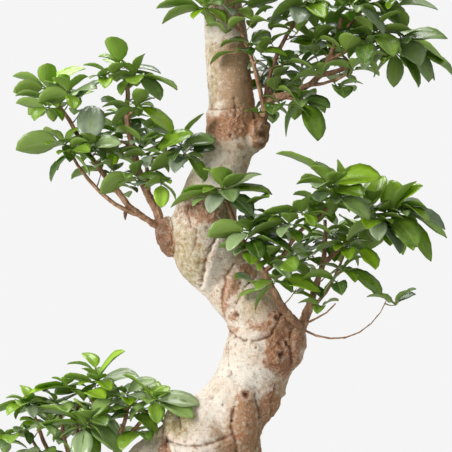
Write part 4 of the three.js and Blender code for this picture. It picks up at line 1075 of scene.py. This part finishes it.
def bend_leaf(template, leaf, rule, look):
    """A copy of the template bent to a leaf's place, with its tone and side written on it."""
    mesh = template.data.copy()
    flat = points_of(template.data)
    last = len(LEAF_RINGS) - 1
    rings = np.clip(np.round((flat[:, 0] + 0.5) * last).astype(int), 0, last)
    below = flat[:, 2] < -0.5
    span = (leaf.tip - leaf.foot).length
    wave, twist = rule.uniform(0, 6.28), rule.uniform(-0.16, 0.16)
    fold, cup = rule.uniform(0.10, 0.30), rule.uniform(0.0, 0.10)
    placed = np.zeros_like(flat)
    for ring, (share, wide) in enumerate(LEAF_RINGS):
        centre = leaf.at(share)
        ahead = (leaf.at(min(1, share + 0.03)) - leaf.at(max(0, share - 0.03))).normalized()
        side = (leaf.side - ahead * leaf.side.dot(ahead)).normalized()
        up = side.cross(ahead)
        turn = twist * share
        cos, sin = math.cos(turn), math.sin(turn)
        side, up = side * cos + up * sin, up * cos - side * sin
        rows = np.flatnonzero(rings == ring)
        across = flat[rows, 1] * 2
        off, rib = np.abs(across), np.abs(across) < 0.1
        if wide == 0:
            half = look.petiole / 2
            height = np.where(below[rows], -0.5, 0.5) * look.petiole
        else:
            half = wide * leaf.half * 1.04 + 0.0003
            height = fold * half * off + cup * half * off**2 - 0.0004 * rib
            height += 0.021 * span * wide * off**3 * math.sin(wave + 9 * share)
            height -= below[rows] * (look.thickness * (1 - 0.5 * off) + 0.0006 * rib * (1 - share))
        placed[rows] = np.array(centre) - np.outer(across * half, side) + np.outer(height, up)
    move_points(mesh, placed)
    write_attribute(mesh, "under", below * 1.0)
    for name in ("tone", "young", "painted_sheen"):
        write_attribute(mesh, name, np.full(len(flat), getattr(leaf, name)))
    made = bpy.data.objects.new("leaf", mesh)
    bpy.context.collection.objects.link(made)
    return made


class BONSAI_OT_sprays(bpy.types.Operator):
    """Grows the leaves of every spray on its green shoots"""

    bl_idname = "bonsai.sprays"
    bl_label = "Leafy sprays"

    def execute(self, context):
        look = context.scene.bonsai_leaf
        rule = random.Random(11)
        waxy, green = leaf_material(look), shoot_material(look, context.scene.bonsai_bark)
        template = leaf_template()
        sprays = {}
        for node in sorted(n for n in NODES if "_spray_" in n):
            stems = copy_of(node, node + "_fine")
            leaves = [Leaf.from_chain(stems.data, chain) for chain in rim_chains(stems.data)]
            sprays[node] = (stems, leaves)
        wood = [tree_of(NODES[name].data) for name in NODES if name.endswith(("_limb", "trunk"))]
        taken = [p for _, leaves in sprays.values() for leaf in leaves for p in leaf.samples()]
        stalk = shoot_template()
        shoots = {node: [] for node in sprays}
        self.long_shoots(sprays, shoots, taken, stalk)
        self.fill_gaps(sprays, taken, wood, rule)
        self.side_shoots(sprays, shoots, taken, wood, stalk, rule)
        self.age(sprays, rule)
        for node, (stems, leaves) in sprays.items():
            self.bare_shoots(stems)
            blades = [bend_leaf(template, leaf, rule, look) for leaf in leaves]
            for piece in (stems, *shoots[node]):
                piece.data.materials.append(green)
            for blade in blades:
                blade.data.materials.append(waxy)
            only(stems, *blades, *shoots[node])
            bpy.ops.object.join()
            hand_over(stems, [node], "foliage")
        bpy.data.objects.remove(template)
        bpy.data.objects.remove(stalk)
        return {"FINISHED"}

    def long_shoots(self, sprays, shoots, taken, stalk):
        """Grows the listed shoots that carry the pad's longest leaves."""
        names = [name for name in sprays if name.startswith("middle_right")]
        for foot, end, tips in LONG_SHOOTS:
            foot, end = Vector(foot) * MM, Vector(end) * MM
            near, home = min(
                ((leaf.foot, name) for name in names for leaf in sprays[name][1]),
                key=lambda found: (found[0] - foot).length,
            )
            heading, span = (end - near).normalized(), (end - near).length
            for share, tip in tips:
                root = along_shoot(near, heading, span, share * LAST_LEAF)
                tip = Vector(tip) * MM
                ahead = (tip - root).normalized()
                middle = (root + tip) / 2 + Vector((0, 0, 0.07 * (tip - root).length))
                side = ahead.cross(Vector((0.1, -0.6, 0.8)))
                leaf = Leaf(root, middle, tip, min(0.015, 0.24 * (tip - root).length), side)
                sprays[home][1].append(leaf)
                taken += leaf.samples()
            shoots[home].append(bend_shoot(stalk, near, heading, span, LONG_SHOOT_RADIUS))

    def side_shoots(self, sprays, shoots, taken, wood, stalk, rule):
        """Breaks short leafy shoots from the limbs' older wood and joins them to near sprays."""
        low, high = CAD_BOX
        for limb, count in SIDE_SHOOTS.items():
            mesh = NODES[limb + "_limb"].data
            names = [n for n in sprays if n.startswith(limb + "_spray_")]
            homes = {n: (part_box(n)[0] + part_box(n)[1]) / 2 for n in names}
            lowest = min(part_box(n)[0].z for n in names)
            faces = [f for f in mesh.polygons if f.center.z > lowest and f.area > 2e-6]
            starts = []
            for _ in range(60 * count):
                if len(starts) == count:
                    break
                face = faces[rule.randrange(len(faces))]
                foot = Vector(face.center)
                if any((foot - other).length < 0.016 for other in starts):
                    continue
                heading = (face.normal + Vector((0, 0, rule.uniform(0.0, 0.7)))).normalized()
                span = rule.uniform(0.014, 0.034)
                if wood_near(wood, along_shoot(foot, heading, span, 1)):
                    continue
                grown, before = [], len(taken)
                turn = rule.uniform(0, 6.28)
                for number in range(rule.randint(5, 7)):
                    root = along_shoot(foot, heading, span, rule.uniform(0.62, LAST_LEAF))
                    rise = rule.uniform(-0.2, 0.9)
                    size = rule.uniform(0.030, 0.052)
                    leaf = self.grown(root, turn + number * LEAF_TURN, rise, size, rule)
                    if leaf.within(low, high) and self.clear(leaf, taken, wood):
                        grown.append(leaf)
                        taken += leaf.samples()
                if len(grown) < 2:
                    del taken[before:]
                    continue
                starts.append(foot)
                home = min(names, key=lambda name: (homes[name] - foot).length)
                sprays[home][1].extend(grown)
                start = foot - heading * MM
                shoots[home].append(bend_shoot(stalk, start, heading, span, SHOOT_RADIUS))

    def bare_shoots(self, stems):
        """Takes the leaves off a copied spray, closes the cuts and rounds the shoots."""
        mesh = stems.data
        for face in mesh.polygons:
            face.select = False
        for chain in rim_chains(mesh):
            members = set(chain)
            keels = set()
            for face in mesh.polygons:
                inside = members.intersection(face.vertices)
                if len(inside) == 2 and face.normal.z < 0.3:
                    keels |= set(face.vertices) - members
            leaf_part = (members - {chain[0], chain[-1]}) | keels
            for face in mesh.polygons:
                if leaf_part.intersection(face.vertices) and set(face.vertices) <= members | keels:
                    face.select = True
        only(stems)
        bpy.ops.object.mode_set(mode="EDIT")
        bpy.ops.mesh.select_mode(type="FACE")
        bpy.ops.mesh.delete(type="FACE")
        bpy.ops.mesh.select_mode(type="VERT")
        bpy.ops.mesh.select_all(action="SELECT")
        bpy.ops.mesh.fill_holes(sides=0)
        bpy.ops.mesh.select_all(action="SELECT")
        bpy.ops.mesh.normals_make_consistent(inside=False)
        bpy.ops.object.mode_set(mode="OBJECT")
        modify(stems, "SUBSURF", levels=1, render_levels=1)

    def fill_gaps(self, sprays, taken, wood, rule):
        """Adds leaves where a shoot has room between two, if they stand clear of the rest."""
        for node, (_, leaves) in sprays.items():
            low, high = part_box(node)
            clusters = []
            for leaf in leaves:
                beside = (
                    cluster
                    for cluster in clusters
                    if any((leaf.foot - o.foot).length < CLUSTER_REACH for o in cluster)
                )
                home = next(beside, None)
                if home is None:
                    clusters.append([leaf])
                else:
                    home.append(leaf)
            for cluster in clusters:
                typical = float(np.median([(o.tip - o.foot).length for o in cluster]))
                for rise, size in INFILL:
                    angles = sorted(o.azimuth() for o in cluster)
                    gaps = zip(angles, angles[1:] + [angles[0] + 2 * math.pi])
                    for gap, start in sorted(((b - a, a) for a, b in gaps), reverse=True)[:3]:
                        for _ in range(6):
                            azimuth = start + gap * rule.uniform(0.25, 0.75)
                            span = typical * size * rule.uniform(0.75, 1.0)
                            foot = rule.choice(cluster).foot
                            steep = rise + rule.uniform(-0.3, 0.35)
                            leaf = self.grown(foot, azimuth, steep, span, rule)
                            if leaf.within(low, high, 0.012) and self.clear(leaf, taken, wood):
                                leaves.append(leaf)
                                cluster.append(leaf)
                                taken += leaf.samples()
                                break

    def grown(self, foot, azimuth, rise, span, rule):
        """A new leaf that leaves its foot at the given rise and droops towards its tip."""
        ahead = heading_to(azimuth, rise)
        middle = foot + ahead * span * 0.5
        tip = middle + heading_to(azimuth, rise - 0.5) * span * 0.5
        side = ahead.cross(Vector((0, 0, 1))) + Vector((0, 0, rule.uniform(-0.35, 0.35)))
        return Leaf(foot, middle, tip, span * rule.uniform(0.25, 0.29), side)

    def clear(self, leaf, taken, wood):
        """Whether a leaf keeps its distance from the wood and from every other leaf."""
        spots = leaf.samples()
        if any(wood_near(wood, spot) for spot in spots):
            return False
        return all((spot - other).length > LEAVES_APART for spot in spots for other in taken)

    def age(self, sprays, rule):
        """Young leaves stand at the top of each limb's pad; the rest are painted darker lower in
        the pad as shade and paler on the best-lit pads as light, and some carry painted sheen.
        """
        tops = {}
        for node, (_, leaves) in sprays.items():
            tops.setdefault(node.split("_spray_")[0], []).extend(leaf.tip.z for leaf in leaves)
        for node, (_, leaves) in sprays.items():
            limb = node.split("_spray_")[0]
            heights, sunlit = sorted(tops[limb]), SUNLIT.get(limb, 0)
            low, high = heights[len(heights) // 8], heights[int(0.88 * len(heights))]
            for leaf in leaves:
                light = max(0.0, min(1.0, (leaf.tip.z - low) / (high - low)))
                standing = leaf.rise() > 0.45 and light > 0.97
                leaf.young = max(0.0, rule.uniform(-0.9, 0.35))
                if standing or rule.random() < 0.05:
                    leaf.young = rule.uniform(0.5, 1.0)
                # Random tone plus painted light: paler higher in the pad and on the best-lit pads,
                # painted shade lower down.
                tone = 0.68 * rule.random() ** 1.2 + 0.55 * light * rule.random()
                leaf.tone = min(1.0, tone + sunlit)
                # Painted sheen on some leaves, more often high in the pad and on the best-lit
                # pads.
                leaf.painted_sheen = rule.uniform(0, 0.10)
                if rule.random() < 0.2 + 0.16 * light + 0.5 * sunlit and leaf.young < 0.4:
                    leaf.painted_sheen = rule.uniform(0.2, 0.68)


class BONSAI_OT_withered_leaf(bpy.types.Operator):
    """Crumples the dried leaf that hangs below the upper left limb"""

    bl_idname = "bonsai.withered_leaf"
    bl_label = "Withered leaf"

    def execute(self, context):
        leaf = copy_of("withered_leaf", "dried_leaf")
        modify(leaf, "SUBSURF", levels=3, render_levels=3)
        points, normals = points_of(leaf.data), normals_of(leaf.data)
        crumple = noise_at(points, 0.004, 3, 2.0) * 0.9 + 0.35
        move_points(leaf.data, points + normals * (crumple * MM)[:, None])
        hand_over(leaf, ["withered_leaf"], "dried_leaf", dried_material(context.scene.bonsai_leaf))
        return {"FINISHED"}


# ---- Pot and soil ----
# The turned pot's outline from the foot ring's edge up the outside and down the inside: radii as
# shares of the rim's, and heights as shares of the pot's.
POT_OUTLINE = [
    (0.672, 0.0), (0.690, 0.030), (0.712, 0.10), (0.765, 0.26), (0.822, 0.42), (0.873, 0.58),
    (0.918, 0.74), (0.944, 0.880), (0.948, 0.888), (0.978, 0.904), (0.996, 0.925), (1.0, 0.955),
    (0.996, 0.984), (0.982, 1.0), (0.955, 1.0), (0.930, 0.985), (0.921, 0.94), (0.902, 0.88),
    (0.866, 0.72), (0.818, 0.54), (0.762, 0.36), (0.706, 0.20), (0.660, 0.105), (0.60, 0.082),
]  # fmt: skip
HOLE_RADIUS = 0.009
GROOVE_SIZE = (0.172, 0.0086, 0.008)  # out from a drain hole, across, and twice its depth


class BONSAI_OT_pot(bpy.types.Operator):
    """Turns the stoneware pot and cuts its drain holes and grooves"""

    bl_idname = "bonsai.pot"
    bl_label = "Pot"

    def execute(self, context):
        look = context.scene.bonsai_pot
        low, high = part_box("pot")
        rim, tall = (high.x - low.x) / 2, high.z - low.z
        foot = POT_OUTLINE[0][0] * rim
        pot = added("circle", "stoneware_pot", vertices=look.sides, radius=foot, fill_type="NGON")
        bpy.ops.object.mode_set(mode="EDIT")
        bpy.ops.mesh.select_all(action="SELECT")
        for (radius, height), (wide, up) in zip(POT_OUTLINE, POT_OUTLINE[1:]):
            step, spread = (0, 0, (up - height) * tall), wide / radius
            bpy.ops.mesh.extrude_region_move(TRANSFORM_OT_translate={"value": step})
            bpy.ops.transform.resize(value=(spread, spread, 1), center_override=(0, 0, 0))
        bpy.ops.mesh.select_all(action="SELECT")
        bpy.ops.mesh.normals_make_consistent(inside=False)
        bpy.ops.object.mode_set(mode="OBJECT")
        for number in range(3):
            node_low, node_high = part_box(f"drain_mesh_{number + 1}")
            hole = ((node_low + node_high) / 2).to_2d().to_3d()
            drill = added(
                "cylinder", "drill", vertices=48, radius=HOLE_RADIUS, depth=0.06, location=hole
            )
            self.cut(pot, drill)
            turn = math.atan2(hole.y, hole.x)
            groove = added(
                "cube",
                "groove",
                size=1,
                location=hole + hole.normalized() * GROOVE_SIZE[0] / 2,
                rotation=(0, 0, turn),
                scale=GROOVE_SIZE,
            )
            self.cut(pot, groove)
        hand_over(pot, ["pot"], "stoneware", stoneware_material(look))
        only(pot)
        bpy.ops.object.shade_smooth_by_angle(angle=math.radians(38))
        return {"FINISHED"}

    def cut(self, pot, tool):
        modify(pot, "BOOLEAN", object=tool, operation="DIFFERENCE", solver="EXACT")
        bpy.data.objects.remove(tool)


class BONSAI_OT_drain_mesh(bpy.types.Operator):
    """Gives the drain mesh squares their plastic"""

    bl_idname = "bonsai.drain_mesh"
    bl_label = "Drain mesh"

    def execute(self, context):
        plastic = mesh_material(context.scene.bonsai_pot)
        for number in range(3):
            for slot in NODES[f"drain_mesh_{number + 1}"].material_slots:
                slot.link = "OBJECT"
                slot.material = plastic
        return {"FINISHED"}


CRUMBS = 420


class BONSAI_OT_soil(bpy.types.Operator):
    """Heaps the potting soil round the trunk, with crumbs and bark chips on top"""

    bl_idname = "bonsai.soil"
    bl_label = "Soil"

    def execute(self, context):
        look = context.scene.bonsai_pot
        rule = random.Random(5)
        soil = copy_of("potting_soil", "potting_soil_fine")
        remesh(soil, 0.0032)
        modify(soil, "SMOOTH", factor=0.5, iterations=6)
        mesh = soil.data
        points, normals = points_of(mesh), normals_of(mesh)
        low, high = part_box("potting_soil")
        surface = smooth_step((normals[:, 2] - 0.3) / 0.4) * (points[:, 2] > high.z - 0.03)
        clods = noise_at(points, 0.013, 3, 4.0)
        grit = noise_at(points, 0.005, 2, 8.0)
        lift = surface * (2.2 * clods + 1.1 * grit + 1.0)
        move_points(mesh, points + normals * (lift * MM)[:, None])
        top = np.flatnonzero(surface > 0.9).tolist()
        crumbs = []
        for index in rule.sample(top, CRUMBS):
            size, place = rule.uniform(0.0014, 0.0042), mesh.vertices[index].co
            crumb = added("ico_sphere", "crumb", subdivisions=1, radius=size, location=place)
            crumb.scale = (rule.uniform(0.7, 1.5), rule.uniform(0.6, 1.1), rule.uniform(0.35, 0.8))
            crumb.rotation_euler = [rule.uniform(0, 3.1) for _ in range(3)]
            crumbs.append(crumb)
        only(*crumbs)
        bpy.ops.object.transform_apply(location=True, rotation=True, scale=True)
        chips = soil_material(look, "soil_crumbs")
        for crumb in crumbs:
            crumb.data.materials.append(chips)
        soil.data.materials.append(soil_material(look, "potting_soil_mix"))
        only(soil, *crumbs)
        bpy.ops.object.join()
        hand_over(soil, ["potting_soil"], "soil")
        return {"FINISHED"}


# ---- Stage ----
AWAY = 1.95  # metres from the camera to the trunk's axis
VIEW_WIDTH = 0.633  # metres that the picture spans at the trunk


class BONSAI_OT_stage(bpy.types.Operator):
    """Lays the floor and sets the softboxes, the backdrop and the camera"""

    bl_idname = "bonsai.stage"
    bl_label = "Stage"

    def execute(self, context):
        look = context.scene.bonsai_stage
        place = (0, 0, -0.0005)
        floor = added("circle", "floor", vertices=96, radius=2.2, fill_type="NGON", location=place)
        g = Graph("floor_paint")
        haze = g.noise(1.5, detail=2.0)
        tint = g.mix(haze.rising(0.3, 0.7), look.floor, [c * 0.97 for c in look.floor])
        floor.data.materials.append(g.surface(Base_Color=tint, Roughness=0.7))
        self.softbox("key", (-2.4, -1.7, 1.6), (0, 0, 0.7), 1.2, look.key)
        self.softbox("overhead", (-0.3, 0.7, 2.9), (0, 0, 0.8), 2.0, look.overhead)
        self.world(context, look)
        place = (0.015, -AWAY, 0.717)
        bpy.ops.object.camera_add(location=place, rotation=(math.pi / 2, 0, 0))
        camera = bpy.context.object
        camera.data.sensor_width = 36
        camera.data.lens = camera.data.sensor_width * AWAY / VIEW_WIDTH
        camera.data.clip_start, camera.data.clip_end = 0.05, 50
        context.scene.camera = camera
        context.scene.view_settings.view_transform = "Standard"
        context.scene.view_settings.look = "None"
        return {"FINISHED"}

    def softbox(self, name, place, target, size, watts):
        bpy.ops.object.select_all(action="DESELECT")
        bpy.ops.object.light_add(type="AREA", location=place)
        light = bpy.context.object
        light.name = name
        light.data.size = size
        light.data.energy = watts
        light.visible_camera = False
        light.rotation_euler = (Vector(target) - Vector(place)).to_track_quat("-Z", "Y").to_euler()

    def world(self, context, look):
        """A plain backdrop for the camera, and a dimmer one that lights the plant."""
        world = bpy.data.worlds.new("studio")
        context.scene.world = world
        world.use_nodes = True
        tree = world.node_tree
        tree.nodes.clear()
        seen, lit = tree.nodes.new("ShaderNodeBackground"), tree.nodes.new("ShaderNodeBackground")
        seen.inputs[0].default_value = (*look.backdrop, 1)
        lit.inputs[0].default_value = (*look.backdrop, 1)
        lit.inputs[1].default_value = look.ambient
        path, mix = tree.nodes.new("ShaderNodeLightPath"), tree.nodes.new("ShaderNodeMixShader")
        out = tree.nodes.new("ShaderNodeOutputWorld")
        tree.links.new(path.outputs["Is Camera Ray"], mix.inputs[0])
        tree.links.new(lit.outputs[0], mix.inputs[1])
        tree.links.new(seen.outputs[0], mix.inputs[2])
        tree.links.new(mix.outputs[0], out.inputs[0])


STEPS = [
    BONSAI_OT_stage,
    BONSAI_OT_trunk,
    BONSAI_OT_limbs,
    BONSAI_OT_sprays,
    BONSAI_OT_withered_leaf,
    BONSAI_OT_pot,
    BONSAI_OT_drain_mesh,
    BONSAI_OT_soil,
]


class BONSAI_PT_panel(bpy.types.Panel):
    """Lists the plant's steps and settings"""

    bl_label = "Fig bonsai"
    bl_idname = "BONSAI_PT_panel"
    bl_space_type = "VIEW_3D"
    bl_region_type = "UI"
    bl_category = "Bonsai"

    def draw(self, context):
        for step in STEPS:
            self.layout.operator(step.bl_idname)
        for group in SETTINGS:
            settings = getattr(context.scene, group)
            box = self.layout.box()
            for name in settings.__annotations__:
                box.prop(settings, name)


SETTINGS = {
    "bonsai_bark": BarkSettings,
    "bonsai_leaf": LeafSettings,
    "bonsai_pot": PotSettings,
    "bonsai_stage": StageSettings,
}
CLASSES = [*SETTINGS.values(), *STEPS, BONSAI_PT_panel]


def register():
    for each in CLASSES:
        bpy.utils.register_class(each)
    for name, group in SETTINGS.items():
        setattr(bpy.types.Scene, name, bpy.props.PointerProperty(type=group))


def unregister():
    for name in SETTINGS:
        delattr(bpy.types.Scene, name)
    for each in reversed(CLASSES):
        bpy.utils.unregister_class(each)


def main():
    register()
    for step in STEPS:
        family, name = step.bl_idname.split(".")
        getattr(getattr(bpy.ops, family), name)()


if __name__ == "__main__":
    main()
